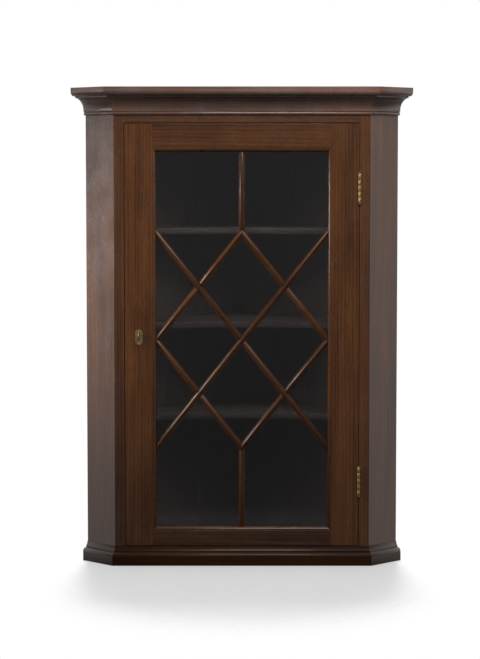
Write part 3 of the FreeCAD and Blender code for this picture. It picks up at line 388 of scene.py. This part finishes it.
def polished_wood(node, space_of, tone_and_painted_light, wear, bloom_and_sheen, dull, shine):
    """French polished wood: rings, ribbon figure, fibres, pores, rubbed edges, old wax and painted shade in
    the inner corners, and a pale haze that is partly a bloomed polish and partly painted sheen.
    Its grain follows the coordinates that space_of gives, and a brightness factor scales its colours with
    painted light and shade besides the wood's own colour."""
    look = bpy.context.scene.cupboard_polish
    recipe = Recipe(bpy.data.materials.new(f"polish_{node}"))
    space = space_of(recipe)
    rings = tree_rings(recipe, space, look.ring, sway=9.0)
    ribbon = recipe.streaks(space, across=62, along=3.4, detail=4, rough=0.6)
    broad = recipe.streaks(space, across=17, along=2.1, detail=2)
    fibres = recipe.streaks(space, across=900, along=14, detail=3, rough=0.65)
    pores = recipe.streaks(space, across=1700, along=60, detail=1)
    figure = recipe.weigh((fibres, 0.24), (rings, 0.10), (ribbon, 0.46), (broad, 0.42))
    # Brightness factor: the wood's own colour together with painted light and shade, lighter or darker
    # piece by piece
    tones = [tuple(tone_and_painted_light * part for part in tint) for tint in (look.dark, look.middle, look.light)]
    wood = recipe.ramp(figure, (0.44, 0.60, 0.80), tones)
    speck = recipe.spread(pores, 0.60, 0.68, 0.0, 0.70)
    wood = recipe.mix(speck, wood, look.pore)
    here = recipe.here()
    blotch = recipe.noise(here, scale=7, detail=4, rough=0.6)
    wood = recipe.mix(recipe.spread(blotch, 0.42, 0.72, 0.0, 0.30), wood, tones[0])
    patch = recipe.noise(here, scale=60, detail=3, rough=0.65)
    rubbed = recipe.sums("MULTIPLY", recipe.edges(0.0025), recipe.spread(patch, 0.42, 0.66, 0.0, wear))
    wood = recipe.mix(rubbed, wood, look.worn)
    # Painted shade: darker in inner corners, where little light gets in, in patches; the same mask also
    # roughens the polish
    dirt_and_shade = recipe.sums("MULTIPLY", recipe.corners(0.012), recipe.spread(patch, 0.30, 0.60, 0.35, 0.85))
    wood = recipe.mix(dirt_and_shade, wood, look.grime_and_shade)
    handled = recipe.noise(here, scale=16, detail=4, rough=0.7)
    # Painted sheen: a pale haze over the wood in random patches, partly a bloomed polish and partly a
    # painted reflection of the white surround, strongest on the cornice
    wood = recipe.mix(recipe.spread(handled, 0.30, 0.70, bloom_and_sheen * 0.5, bloom_and_sheen), wood, look.bloom_and_sheen)
    rough = look.gloss + dull
    polish = recipe.spread(handled, 0.35, 0.60, rough - 0.04, rough + 0.07)
    return recipe.finish(recipe.add("BsdfPrincipled", {
        "Base Color": wood,
        "Roughness": recipe.sums("MULTIPLY_ADD", dirt_and_shade, 0.35, polish),
        "Normal": recipe.bump(recipe.weigh((fibres, 0.35), (speck, -0.7)), 0.16, 0.0004),
        "Specular IOR Level": 0.42 * shine,
        "Coat Weight": 0.12 * shine,
        "Coat Roughness": 0.10}))


def plain_wood(name, space_of, tints, dusty, knots, inside=None):
    """Unpolished boards: rings, knots, saw marks, stains, painted shade in the inner corners, dust on top
    and a darker colour on the inner faces.
    The grain follows the coordinates that space_of gives."""
    look = bpy.context.scene.cupboard_backs
    recipe = Recipe(bpy.data.materials.new(name))
    space = space_of(recipe)
    rings = tree_rings(recipe, space, look.ring, sway=7.0)
    fibres = recipe.streaks(space, across=800, along=16, detail=3, rough=0.65)
    broad = recipe.streaks(space, across=24, along=2, detail=3)
    figure = recipe.weigh((fibres, 0.42), (rings, 0.22), (broad, 0.42))
    wood = recipe.ramp(figure, (0.34, 0.55, 0.78), tints)
    cells = recipe.add("TexVoronoi", {"Vector": recipe.stretch(space, 9.0, 9.0, 3.0), "Scale": 1.0})
    knot = recipe.spread(cells.outputs["Distance"], 0.13, 0.05, 0.0, knots)
    wood = recipe.mix(knot, wood, look.knot)
    here = recipe.here()
    stain = recipe.noise(here, scale=5, detail=5, rough=0.65)
    wood = recipe.mix(recipe.spread(stain, 0.42, 0.72, 0.0, 0.55), wood, tints[0])
    normal = recipe.add("NewGeometry", {}).outputs["Normal"]
    if inside is not None:
        # Darker colour on the faces that look into the case
        facing = recipe.add("VectorMath", {0: normal, 1: inside}, operation="DOT_PRODUCT")
        facing_in = recipe.spread(facing.outputs["Value"], 0.3, 0.6)
        wood = recipe.mix(facing_in, wood, recipe.mix(look.inner_colour_cover, wood, look.inner_colour))
    # Painted shade: inner corners, where little light gets in, darkened to the knot colour
    wood = recipe.mix(recipe.corners(0.03), wood, look.knot)
    level = recipe.add("SeparateXYZ", {0: normal}).outputs["Z"]
    flecks = recipe.noise(here, scale=240, detail=3, rough=0.7)
    settled = recipe.sums("MULTIPLY", recipe.spread(level, 0.6, 0.95, 0.0, dusty),
                          recipe.spread(flecks, 0.35, 0.65, 0.45, 1.0))
    sawn = recipe.streaks(space, across=30, along=420, detail=2)
    return recipe.finish(recipe.add("BsdfPrincipled", {
        "Base Color": recipe.mix(settled, wood, look.dust),
        "Roughness": recipe.spread(fibres, 0.3, 0.7, 0.62, 0.82),
        "Normal": recipe.bump(recipe.weigh((fibres, 0.6), (sawn, 0.45)), 0.30, 0.0006),
        "Specular IOR Level": 0.3}))


def window_glass():
    """Old clear glass with a slow ripple and a thin film; lamps shine through it."""
    look = bpy.context.scene.cupboard_glazing
    recipe = Recipe(bpy.data.materials.new("window_glass"))
    here = recipe.here()
    ripple = recipe.streaks(here, across=11, along=4, detail=1)
    film = recipe.noise(here, scale=22, detail=3, rough=0.6)
    pane = recipe.add("BsdfPrincipled", {
        "Base Color": look.tint,
        "Roughness": recipe.spread(film, 0.45, 0.75, 0.01, 0.05),
        "IOR": 1.5,
        "Normal": recipe.bump(ripple, look.ripple, 0.002),
        "Transmission Weight": 1.0,
        "Specular IOR Level": 0.32})
    through = recipe.add("BsdfTransparent", {"Color": look.tint})
    lamp_ray = recipe.add("LightPath", {}).outputs["Is Shadow Ray"]
    return recipe.finish(recipe.add("MixShader", {0: lamp_ray, 1: pane, 2: through}))


def old_putty():
    """Hard putty with thumb marks and chalky patches."""
    look = bpy.context.scene.cupboard_glazing
    recipe = Recipe(bpy.data.materials.new("old_putty"))
    here = recipe.here()
    patch = recipe.noise(here, scale=90, detail=4, rough=0.65)
    thumbed = recipe.noise(here, scale=160, detail=2)
    return recipe.finish(recipe.add("BsdfPrincipled", {
        "Base Color": recipe.mix(recipe.spread(patch, 0.42, 0.66), look.putty, look.putty_pale),
        "Roughness": recipe.spread(patch, 0.3, 0.7, 0.68, 0.9),
        "Normal": recipe.bump(thumbed, 0.5, 0.0008),
        "Specular IOR Level": 0.3}))


def old_metal(name, bright, dull, rough, film):
    """Metal rubbed bright on its edges, with a film of tarnish or rust elsewhere."""
    recipe = Recipe(bpy.data.materials.new(name))
    here = recipe.here()
    patch = recipe.noise(here, scale=170, detail=5, rough=0.68)
    brushed = recipe.streaks(here, across=2600, along=120, detail=2)
    cover = recipe.spread(patch, 0.34, 0.64, film, film * 0.35)
    cover = recipe.sums("MULTIPLY", cover, recipe.spread(recipe.edges(0.0012), 0.0, 1.0, 1.0, 0.25))
    tint = recipe.mix(cover, bright, dull)
    tint = recipe.mix(recipe.corners(0.004), tint, [part * 0.4 for part in dull])
    rubbed = recipe.spread(brushed, 0.3, 0.7, rough - 0.05, rough + 0.08)
    return recipe.finish(recipe.add("BsdfPrincipled", {
        "Base Color": tint,
        "Metallic": 1.0,
        "Roughness": recipe.sums("MULTIPLY_ADD", cover, 0.34, rubbed),
        "Normal": recipe.bump(recipe.weigh((brushed, 0.3), (patch, 0.5)), 0.15, 0.0003)}))


def coat(node, material):
    """One material over the whole of a model piece."""
    slots = NODES[node].data.materials
    slots.clear()
    slots.append(material)


def soften(node, width, segments=2):
    """Rounded edges on a model piece: join its loose triangles, then round what turns sharply."""
    weld = NODES[node].modifiers.new("join", "WELD")
    weld.merge_threshold = JOIN_REACH
    bevel = NODES[node].modifiers.new("edge", "BEVEL")
    bevel.width = width
    bevel.segments = segments
    bevel.limit_method = "ANGLE"
    bevel.angle_limit = SHARP_TURN
    bevel.loop_slide = False
    bevel.harden_normals = True


def quarter_cut(number):
    """Place of a board in its tree, well to the side of the heart, for straight grain."""
    return (0.26 + 0.037 * (number % 7), 0.14 + 0.021 * (number % 5), TREE_STEP * number)


def flat_cut(number):
    """Place of a board in its tree, over or beside the heart, for arched grain."""
    return (0.029 * (number % 4) - 0.046, 0.045 + 0.014 * (number % 5), TREE_STEP * number)


def run_out(number):
    """Slope of a board's fibres, differing from board to board, some of them upside down."""
    return (0.026 + 0.0085 * (number % 5)) * (-1) ** (number % 3)


def surface(name, sheets, material, body):
    """Object from closed grids: each sheet is rows x columns x 3, wrapped round its columns,
    with its first and last rows closed by one face each."""
    points, faces, start = [], [], 0
    for sheet in sheets:
        rows, columns = sheet.shape[:2]
        points.append(sheet.reshape(-1, 3))
        number = start + np.arange(rows * columns).reshape(rows, columns)
        after = np.roll(number, -1, axis=1)
        quads = np.stack([number[:-1], after[:-1], after[1:], number[1:]], axis=-1)
        faces += quads.reshape(-1, 4).tolist()
        faces += [number[0, ::-1].tolist(), number[-1].tolist()]
        start += rows * columns
    mesh = bpy.data.meshes.new(name)
    mesh.from_pydata(np.concatenate(points).tolist(), [], faces)
    mesh.validate()
    mesh.shade_smooth()
    mesh.materials.append(material)
    piece = bpy.data.objects.new(name, mesh)
    bpy.context.scene.collection.objects.link(piece)
    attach(piece, body)
    return piece


def set_at(sheet, place, out, along):
    """Sheet moved from its own frame, with its Z to the way out and its X along, to a place."""
    out, along = np.array(out, float), np.array(along, float)
    turn = np.stack([along, np.cross(out, along), out])
    return sheet @ turn + np.array(place, float)


def domed_head(radius, crown, skirt, turns, lobes):
    """Head of a nail or pin: radius r(v) = R (1 + lobes (cos(3v + 1) + cos(5v + 2)) / 2) and
    height crown (1 - u^2) for u from 1 at the rim towards 0 in the middle, on an upright skirt."""
    way = np.linspace(0, math.tau, turns, endpoint=False)
    edge = radius * (1 + lobes * (np.cos(3 * way + 1) + np.cos(5 * way + 2)) / 2)
    across = np.array([1.0, 1.0, 0.93, 0.78, 0.52, 0.22])
    height = crown * (1 - across ** 2)
    height[0] -= skirt
    flat = across[:, None] * edge
    return np.stack([flat * np.cos(way), flat * np.sin(way),
                     np.repeat(height[:, None], turns, axis=1)], axis=-1)


def slotted_head(radius, crown, depth, foot, slot, turns):
    """Screw head as a closed tube along its slot: at each station x the section runs up the
    rim at y = sqrt(R^2 - x^2), over the crown, down into the slot and up again. The slot goes
    down 0.6 of the depth, and the foot is narrower than the rim."""
    half = slot / 2
    reach = math.sqrt(radius ** 2 - half ** 2)
    x = reach * np.sin(np.linspace(-math.pi / 2, math.pi / 2, turns))
    rim = np.sqrt(radius ** 2 - x ** 2)
    inward = np.array([0.0, 0.35, 0.75, 1.0])
    side = rim[:, None] + inward * (half - rim[:, None])
    top = crown * (1 - (side ** 2 + x[:, None] ** 2) / radius ** 2)
    floor = np.full((turns, 1), -depth * 0.6)
    base = np.full((turns, 1), -depth)
    near = np.full((turns, 1), half)
    y = np.hstack([rim[:, None] * foot, side, near, -near, -side[:, ::-1], -rim[:, None] * foot])
    z = np.hstack([base, top, floor, floor, top[:, ::-1], base])
    stations = np.repeat(x[:, None], y.shape[1], axis=1)
    stations[:, [0, -1]] *= foot
    return np.stack([stations, y, z], axis=-1)


def threaded_shank(radius, start, end, turns):
    """Shank with a helical thread: r(v, z) = R (1 - 0.35 t^3) - h + h saw(z / pitch - v / tau)
    for t from 0 at the head to 1 at the tip, with h = 0.16 R and a pitch of 0.9 R. The first
    third is plain, and from t = 0.96 the tip is drawn in to 0.45 of its radius."""
    pitch, rise = radius * 0.9, radius * 0.16
    t = np.linspace(0, 1, 60)[:, None]
    way = np.linspace(0, math.tau, turns, endpoint=False)
    z = start + (end - start) * t
    saw = np.abs(((z / pitch - way / math.tau) % 1.0) * 2 - 1)
    body = radius * (1 - 0.35 * t ** 3) * np.where(t > 0.96, 0.45, 1.0)
    r = body - rise + rise * np.where(t > 0.33, saw, 1.0)
    return np.stack([r * np.cos(way), r * np.sin(way), np.broadcast_to(z, r.shape)], axis=-1)


def glued_slip(width, depth, height):
    """Slip of wood for a shrunk joint: a flat section with blunt corners carried upwards, with
    its depth d(z) = D (1 + 0.07 sin 9z + 0.04 sin 31z) as a knife leaves it."""
    z = np.linspace(0, height, 60)[:, None]
    uneven = 1 + 0.07 * np.sin(9 * z) + 0.04 * np.sin(31 * z)
    x = np.array([-1, -0.5, 0.5, 1, 1, 0.5, -0.5, -1]) * width / 2
    y = np.array([-0.97, -1, -1, -0.97, 0.97, 1, 1, 0.97]) * depth / 2 * uneven
    return np.stack([np.broadcast_to(x, y.shape), y, np.broadcast_to(z, y.shape)], axis=-1)


def board_span(side, number, run):
    """First and last edge of a backboard, along its wall from the rear corner."""
    low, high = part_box(f"{side}_backboard_{number}")
    corners = [Vector((x, y, 0)) - REAR_CORNER for x in (low.x, high.x) for y in (low.y, high.y)]
    reach = [corner.dot(run) for corner in corners]
    return min(reach) + BACK_THICK / 2, max(reach) - BACK_THICK / 2


def wood_screws(name, node, places, out, crown, depth, foot, body):
    """Screws in place of their plain solids, each slot turned a little differently."""
    look = bpy.context.scene.cupboard_fittings
    head = slotted_head(look.screw_head, crown, depth, foot, look.slot_width, look.turns)
    shank = threaded_shank(look.screw_shank, -depth * SHANK_IN_HEAD, -depth - look.screw_length, look.turns)
    first = Vector(out).orthogonal().normalized()
    second = Vector(out).cross(first)
    sheets = []
    for number, place in enumerate(places):
        turn = FIRST_SLOT + SLOT_TURN * number
        along = first * math.cos(turn) + second * math.sin(turn)
        sheets += [set_at(sheet, place, out, along) for sheet in (head, shank[::-1])]
    piece = surface(name, sheets, bpy.data.materials["screw_iron"], body)
    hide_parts(node)


# Finishes of the polish: edge wear, a pale haze that is partly a bloomed polish and partly painted sheen,
# dullness and shine
FINISHES = {
    "cant": (0.35, 0.12, 0.0, 1.0),
    "frame": (0.25, 0.05, 0.0, 1.0),
    "cornice": (0.60, 0.45, 0.0, 1.0),
    "base": (0.30, 0.0, 0.14, 0.3),
    "base_end": (0.30, 0.10, 0.08, 0.8),
    "door": (0.30, 0.01, 0.0, 1.0),
    "bar": (0.40, 0.0, 0.06, 0.6),
}

# Polished pieces: grain direction, face, finish and brightness of each; the brightness holds painted light
# and shade besides the wood's own colour: a lighter cornice, a darker base, bottom rails and glazing bars,
# and sides that differ left to right
POLISHED = [
    ("left_canted_side", UP, LEFT_WALL, "cant", 1.0),
    ("right_canted_side", UP, RIGHT_WALL, "cant", 1.05),
    ("left_front_stile", UP, FRONT, "frame", 0.92),
    ("right_front_stile", UP, FRONT, "frame", 1.02),
    ("bottom_front_rail", ACROSS, FRONT, "frame", 0.60),
    ("top_front_rail", ACROSS, FRONT, "frame", 0.90),
    ("cornice_front", ACROSS, FRONT, "cornice", 1.68),
    ("cornice_left", -RIGHT_WALL, LEFT_WALL, "cornice", 1.56),
    ("cornice_right", -LEFT_WALL, RIGHT_WALL, "cornice", 1.30),
    ("base_moulding_front", ACROSS, FRONT, "base", 0.38),
    ("base_moulding_left", -RIGHT_WALL, LEFT_WALL, "base_end", 0.38),
    ("base_moulding_right", -LEFT_WALL, RIGHT_WALL, "base_end", 0.38),
    ("door_left_stile", UP, FRONT, "door", 1.02),
    ("door_right_stile", UP, FRONT, "door", 1.12),
    ("door_bottom_rail", ACROSS, FRONT, "door", 0.66),
    ("door_top_rail", ACROSS, FRONT, "door", 0.94),
    ("glazing_bar_rising", RISING, FRONT, "bar", 0.62),
    ("glazing_bar_falling", FALLING, FRONT, "bar", 0.62),
    ("glazing_bar_upper_left", RISING, FRONT, "bar", 0.60),
    ("glazing_bar_upper_right", FALLING, FRONT, "bar", 0.64),
    ("glazing_bar_lower_left", FALLING, FRONT, "bar", 0.63),
    ("glazing_bar_lower_right", RISING, FRONT, "bar", 0.59),
    ("glazing_bar_upper_upright", UP, FRONT, "bar", 0.64),
    ("glazing_bar_lower_upright", UP, FRONT, "bar", 0.60),
]

# The moulding round the glass, its place in the tree and its brightness factor, as for the polished pieces
# above
SIGHT_MOULDING = "door_sight_moulding"
SIGHT_CUT = 3
SIGHT_TONE = 0.85

# Unpolished pieces: grain direction, face, dust, knots and the inner side of each, which is darker
PLAIN = [
    ("bottom_board", ACROSS, UP, 0.10, 0.8, UP),
    ("top_board", ACROSS, UP, 0.55, 0.8, -UP),
    ("left_hanging_rail", LEFT_WALL, RIGHT_WALL, 0.2, 0.0, RIGHT_WALL),
    ("right_hanging_rail", RIGHT_WALL, LEFT_WALL, 0.2, 0.0, LEFT_WALL),
    ("shelf_bearers", ACROSS, FRONT, 0.1, 0.0, FRONT),
    ("cornice_glue_blocks", ACROSS, UP, 0.35, 0.0, None),
    ("door_stop", ACROSS, FRONT, 0.1, 0.0, None),
    *[(f"{side}_backboard_{number}", UP, inward, 0.3, 0.9, inward)
      for side, _, inward in WALLS for number in BACKBOARDS],
]

SHELVES = ("lower_shelf", "middle_shelf", "upper_shelf")
PANES = ("top_panes", "bottom_panes", "diamond_panes", "side_triangle_panes")
BRASS = ("lower_hinge_case_leaf", "upper_hinge_case_leaf", "lower_hinge_door_leaf",
         "upper_hinge_door_leaf", "hinge_pins", "escutcheon", "strike_plate", "lock_bolt")
IRON = ("lock_case", "key")


class CUPBOARD_OT_joinery(Operator):
    """Polish the front, mouldings, door frame and glazing bars"""
    bl_idname = "cupboard.joinery"
    bl_label = "Polished joinery"

    def execute(self, context):
        edge = context.scene.cupboard_polish.edge
        for number, (node, along, face, finish, tone_and_painted_light) in enumerate(POLISHED):
            coat(node, polished_wood(node, lambda recipe: grain_space(
                recipe, node, along, face, quarter_cut(number)), tone_and_painted_light, *FINISHES[finish]))
            soften(node, edge)
        coat(SIGHT_MOULDING, polished_wood(SIGHT_MOULDING, lambda recipe: mitred_space(
            recipe, SIGHT_MOULDING, quarter_cut(SIGHT_CUT)), SIGHT_TONE, *FINISHES["bar"]))
        soften(SIGHT_MOULDING, edge)
        return {"FINISHED"}


class CUPBOARD_OT_carcase(Operator):
    """Give the backs, boards, bearers and blocks their plain softwood"""
    bl_idname = "cupboard.carcase"
    bl_label = "Plain carcase boards"

    def execute(self, context):
        look = context.scene.cupboard_backs
        tints = [tuple(tint) for tint in (look.dark, look.middle, look.light)]
        for number, (node, along, face, dusty, knots, inside) in enumerate(PLAIN):
            coat(node, plain_wood(f"softwood_{node}", lambda recipe: grain_space(
                recipe, node, along, face, flat_cut(number), run_out(number)),
                tints, dusty, knots, inside))
            soften(node, look.edge)
        return {"FINISHED"}


class CUPBOARD_OT_slips(Operator):
    """Glue slips of wood into the shrunk joints between the backboards"""
    bl_idname = "cupboard.slips"
    bl_label = "Joint slips"

    def execute(self, context):
        look = context.scene.cupboard_backs
        tints = [tuple(tint) for tint in (look.knot, look.dark, look.middle)]
        wood = plain_wood("softwood_slips", lambda recipe: grain_space(
            recipe, "left_backboard_2", UP, RIGHT_WALL, flat_cut(1)), tints, dusty=0.0, knots=0.0)
        low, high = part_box("left_backboard_2")
        tall = high.z - low.z - look.edge * 2
        slips = []
        for side, run, inward in WALLS:
            spans = [board_span(side, number, run) for number in BACKBOARDS]
            for (_, before), (after, _) in zip(spans, spans[1:]):
                slip = glued_slip(after - before, look.slip, tall)
                place = REAR_CORNER + run * (before + after) / 2 + inward * BACK_THICK / 2
                slips.append(set_at(slip, place + UP * (low.z + look.edge), UP, run))
        surface("backboard_joint_slips", slips, wood, "case")
        return {"FINISHED"}


class CUPBOARD_OT_shelves(Operator):
    """Give the shelves their waxed wood"""
    bl_idname = "cupboard.shelves"
    bl_label = "Shelves"

    def execute(self, context):
        look = context.scene.cupboard_backs
        middle = tuple((dark + light) / 2 for dark, light in zip(look.shelf_dark, look.shelf_light))
        tints = [tuple(look.shelf_dark), middle, tuple(look.shelf_light)]
        for number, node in enumerate(SHELVES, start=2):
            coat(node, plain_wood(f"waxed_{node}", lambda recipe: grain_space(
                recipe, node, ACROSS, UP, flat_cut(number), tilt=0.04), tints, dusty=0.03, knots=0.3))
            soften(node, look.edge)
        return {"FINISHED"}


class CUPBOARD_OT_glazing(Operator):
    """Glaze the door and bed the panes in putty"""
    bl_idname = "cupboard.glazing"
    bl_label = "Glass and putty"

    def execute(self, context):
        glass = window_glass()
        for node in PANES:
            coat(node, glass)
        coat("glazing_putty", old_putty())
        soften("glazing_putty", context.scene.cupboard_glazing.fillet, segments=3)
        return {"FINISHED"}


class CUPBOARD_OT_fittings(Operator):
    """Finish the brass hinges and plates, the lock and the key"""
    bl_idname = "cupboard.fittings"
    bl_label = "Hinges, lock and key"

    def execute(self, context):
        look = context.scene.cupboard_fittings
        brass = old_metal("aged_brass", look.brass, look.tarnish, rough=0.24, film=0.85)
        iron = old_metal("lock_iron", look.steel, look.rust, rough=0.34, film=0.80)
        for nodes, metal in ((BRASS, brass), (IRON, iron)):
            for node in nodes:
                coat(node, metal)
                soften(node, look.edge)
        # The screws and the nails take this one
        old_metal("screw_iron", look.steel, look.rust, rough=0.36, film=0.90)
        return {"FINISHED"}


class CUPBOARD_OT_screws(Operator):
    """Drive slotted screws into the hinges and the lock, and pin the keyhole plate"""
    bl_idname = "cupboard.screws"
    bl_label = "Screws and pins"

    def execute(self, context):
        look = context.scene.cupboard_fittings
        for body, way in (("case", -1), ("door", 1)):
            self.hinge_screws(look, body, way)
        self.lock_screws(look)
        low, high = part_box("escutcheon")
        pin = domed_head(look.pin_head, look.pin_head / 2, look.pin_skirt, look.turns, lobes=0.0)
        pins = [set_at(pin, (middle_of("escutcheon").x, low.y, z), FRONT, ACROSS)
                for z in (low.z + look.pin_inset, high.z - look.pin_inset)]
        surface("keyhole_plate_pins", pins, bpy.data.materials["aged_brass"], "door")
        return {"FINISHED"}

    def hinge_screws(self, look, body, way):
        """Flush screws in the leaves of both hinges on one body, from the lowest and the highest."""
        node = f"hinge_{body}_screws"
        low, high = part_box(node)
        depth = (high - low).x - look.screw_length
        face = low.x if way < 0 else high.x
        steps = [look.screw_head + look.screw_spacing * row for row in range(HINGE_ROWS)]
        heights = [low.z + step for step in steps] + [high.z - step for step in steps]
        places = [(face, middle_of(node).y, height) for height in heights]
        wood_screws(f"hinge_{body}_wood_screws", node, places, (way, 0, 0), 0.0, depth,
                    look.screw_shank / look.screw_head, body)

    def lock_screws(self, look):
        """Round headed screws at the four corners of the lock."""
        low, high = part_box("lock_screws")
        crown = high.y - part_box("lock_case")[0].y - look.lock_plate
        places = [(x, high.y - crown, z) for x in (low.x + look.screw_head, high.x - look.screw_head)
                  for z in (low.z + look.screw_head, high.z - look.screw_head)]
        wood_screws("lock_wood_screws", "lock_screws", places, (0, 1, 0), crown, look.lock_head,
                    look.lock_foot, "door")


class CUPBOARD_OT_nails(Operator):
    """Nail the backboards to the boards and the shelf bearers"""
    bl_idname = "cupboard.nails"
    bl_label = "Backboard nails"

    def execute(self, context):
        look = context.scene.cupboard_fittings
        levels = [middle_of(node).z for node in ("bottom_board", "top_board")]
        levels += [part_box(node)[0].z - look.nail_drop for node in SHELVES]
        head = domed_head(look.nail_head, look.nail_crown, look.nail_skirt, look.turns // 2, lobes=0.12)
        heads = []
        for side, run, inward in WALLS:
            for board in BACKBOARDS:
                first, last = board_span(side, board, run)
                for along in (first + look.nail_inset, last - look.nail_inset):
                    for number, level in enumerate(levels):
                        height = level + look.nail_stray * math.sin(7 * along + number)
                        place = REAR_CORNER + run * along + UP * height
                        heads.append(set_at(head, place, -inward, run))
        surface("backboard_nails", heads, bpy.data.materials["screw_iron"], "case")
        return {"FINISHED"}


class CUPBOARD_OT_stage(Operator):
    """Set up the floor, the light and the camera"""
    bl_idname = "cupboard.stage"
    bl_label = "Studio stage"

    def execute(self, context):
        scene = context.scene
        look = scene.cupboard_stage
        scene.view_settings.view_transform = "Standard"
        pieces = [piece for piece in scene.objects if piece.type == "MESH"]
        floor = self.paper_floor(scene, look)
        scene.world = self.surround(look)
        self.hang(scene, "key_lamp", look.key, math.pi, pieces)
        self.hang(scene, "side_lamp", look.side, look.side_beam, pieces)
        self.hang(scene, "top_light", look.top, math.pi, [floor])
        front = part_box("door_left_stile")[0].y
        data = bpy.data.cameras.new("camera")
        data.lens = look.lens
        camera = bpy.data.objects.new("camera", data)
        camera.location = (look.aside, front - look.distance, look.height)
        camera.rotation_euler = (math.pi / 2 - look.pitch, 0, 0)
        scene.collection.objects.link(camera)
        scene.camera = camera
        return {"FINISHED"}

    def paper_floor(self, scene, look):
        """Oval sheet of pale paper: half width times cos v by half depth times sin v, just under
        the base. Towards its rim it fades into the white surround."""
        way = np.linspace(0, math.tau, FLOOR_POINTS, endpoint=False)
        rim = np.stack([look.floor_wide * np.cos(way), look.floor_deep * np.sin(way) - look.floor_ahead,
                        np.full(FLOOR_POINTS, -look.floor_gap)], axis=-1)
        mesh = bpy.data.meshes.new("paper_floor")
        mesh.from_pydata(rim.tolist(), [], [list(range(FLOOR_POINTS))])
        mesh.materials.append(self.floor_paper(look))
        floor = bpy.data.objects.new("paper_floor", mesh)
        scene.collection.objects.link(floor)
        return floor

    def floor_paper(self, look):
        """Paper with a fine tooth, white where it is seen and dim where it only throws light up."""
        recipe = Recipe(bpy.data.materials.new("floor_paper"))
        here = recipe.here()
        tooth = recipe.noise(here, scale=900, detail=2)
        hollows = [part * 0.98 for part in look.floor]
        pale = recipe.mix(recipe.spread(tooth, 0.3, 0.7), hollows, look.floor)
        glossy = recipe.add("LightPath", {}).outputs["Is Glossy Ray"]
        seen = recipe.sums("MULTIPLY_ADD", glossy, look.floor_gleam, recipe.in_sight())
        paper = recipe.add("BsdfPrincipled", {
            "Base Color": recipe.mix(seen, look.floor_bounce, pale),
            "Roughness": 0.9,
            "Specular IOR Level": 0.1,
            "Emission Color": (1, 1, 1),
            "Emission Strength": recipe.sums("MULTIPLY", seen, look.lift)})
        oval = recipe.add("Mapping", {
            "Vector": here,
            "Location": (0, look.floor_ahead / look.floor_deep, 0),
            "Scale": (1 / look.floor_wide, 1 / look.floor_deep, 1)})
        reach = recipe.add("VectorMath", {0: oval}, operation="LENGTH").outputs["Value"]
        fade = recipe.spread(reach, look.floor_fade, 1.0, ease="SMOOTHSTEP")
        clear = recipe.add("BsdfTransparent", {})
        return recipe.finish(recipe.add("MixShader", {0: fade, 1: paper, 2: clear}))

    def surround(self, look):
        """World that is white behind, beside and above, with a dim room and its ground in front."""
        recipe = Recipe(bpy.data.worlds.new("studio"))
        way = recipe.add("SeparateXYZ", {0: recipe.add("TexCoord", {}).outputs["Generated"]})
        height, depth = way.outputs["Z"], way.outputs["Y"]
        wall = recipe.spread(height, *ROOM_RISE, look.room_low, look.room)
        ground = recipe.spread(height, *GROUND_FALL, 0.0, look.ground)
        front = recipe.sums("MAXIMUM", wall, ground)
        room = recipe.spread(depth, *ROOM_TO_WHITE, front, 1.0, ease="SMOOTHSTEP")
        light = recipe.spread(height, *GROUND_TO_ROOM, look.ground, room)
        strength = recipe.sums("MAXIMUM", light, recipe.in_sight())
        white = recipe.add("Background", {"Color": (1, 1, 1), "Strength": strength})
        return recipe.finish(white, "OutputWorld")

    def hang(self, scene, name, watts, beam, lit):
        """Soft lamp at its place, turned to its aim, on some of the pieces and not seen itself."""
        size, place, aim = LAMPS[name]
        data = bpy.data.lights.new(name, "AREA")
        data.shape = "RECTANGLE"
        data.size, data.size_y = size
        data.energy = watts
        data.spread = beam
        lamp = bpy.data.objects.new(name, data)
        lamp.location = place
        lamp.rotation_euler = (Vector(aim) - Vector(place)).to_track_quat("-Z", "Y").to_euler()
        lamp.visible_camera = False
        lit_pieces = bpy.data.collections.new(f"lit_by_{name}")
        for piece in lit:
            lit_pieces.objects.link(piece)
        lamp.light_linking.receiver_collection = lit_pieces
        scene.collection.objects.link(lamp)


class CUPBOARD_PT_sidebar(Panel):
    """Steps, sizes and colours of the cupboard"""
    bl_idname = "CUPBOARD_PT_sidebar"
    bl_label = "Corner cupboard"
    bl_space_type = "VIEW_3D"
    bl_region_type = "UI"
    bl_category = "Cupboard"

    def draw(self, context):
        for step in STEPS:
            self.layout.operator(step.bl_idname)
        for name in SETTINGS:
            group = getattr(context.scene, name)
            box = self.layout.box()
            for key in type(group).__annotations__:
                box.prop(group, key)


SETTINGS = {"cupboard_polish": CupboardPolish, "cupboard_backs": CupboardBacks,
            "cupboard_glazing": CupboardGlazing, "cupboard_fittings": CupboardFittings,
            "cupboard_stage": CupboardStage}
STEPS = (CUPBOARD_OT_joinery, CUPBOARD_OT_carcase, CUPBOARD_OT_slips, CUPBOARD_OT_shelves,
         CUPBOARD_OT_glazing, CUPBOARD_OT_fittings, CUPBOARD_OT_screws, CUPBOARD_OT_nails,
         CUPBOARD_OT_stage)


def register():
    """Settings on the scene, then the steps and the panel."""
    for name, group in SETTINGS.items():
        bpy.utils.register_class(group)
        setattr(bpy.types.Scene, name, PointerProperty(type=group))
    for step in (*STEPS, CUPBOARD_PT_sidebar):
        bpy.utils.register_class(step)


def unregister():
    """The reverse of register."""
    for step in (CUPBOARD_PT_sidebar, *reversed(STEPS)):
        bpy.utils.unregister_class(step)
    for name, group in SETTINGS.items():
        delattr(bpy.types.Scene, name)
        bpy.utils.unregister_class(group)


def main():
    """All steps in order."""
    register()
    bpy.ops.cupboard.joinery()
    bpy.ops.cupboard.carcase()
    bpy.ops.cupboard.slips()
    bpy.ops.cupboard.shelves()
    bpy.ops.cupboard.glazing()
    bpy.ops.cupboard.fittings()
    bpy.ops.cupboard.screws()
    bpy.ops.cupboard.nails()
    bpy.ops.cupboard.stage()


if __name__ == "__main__":
    main()
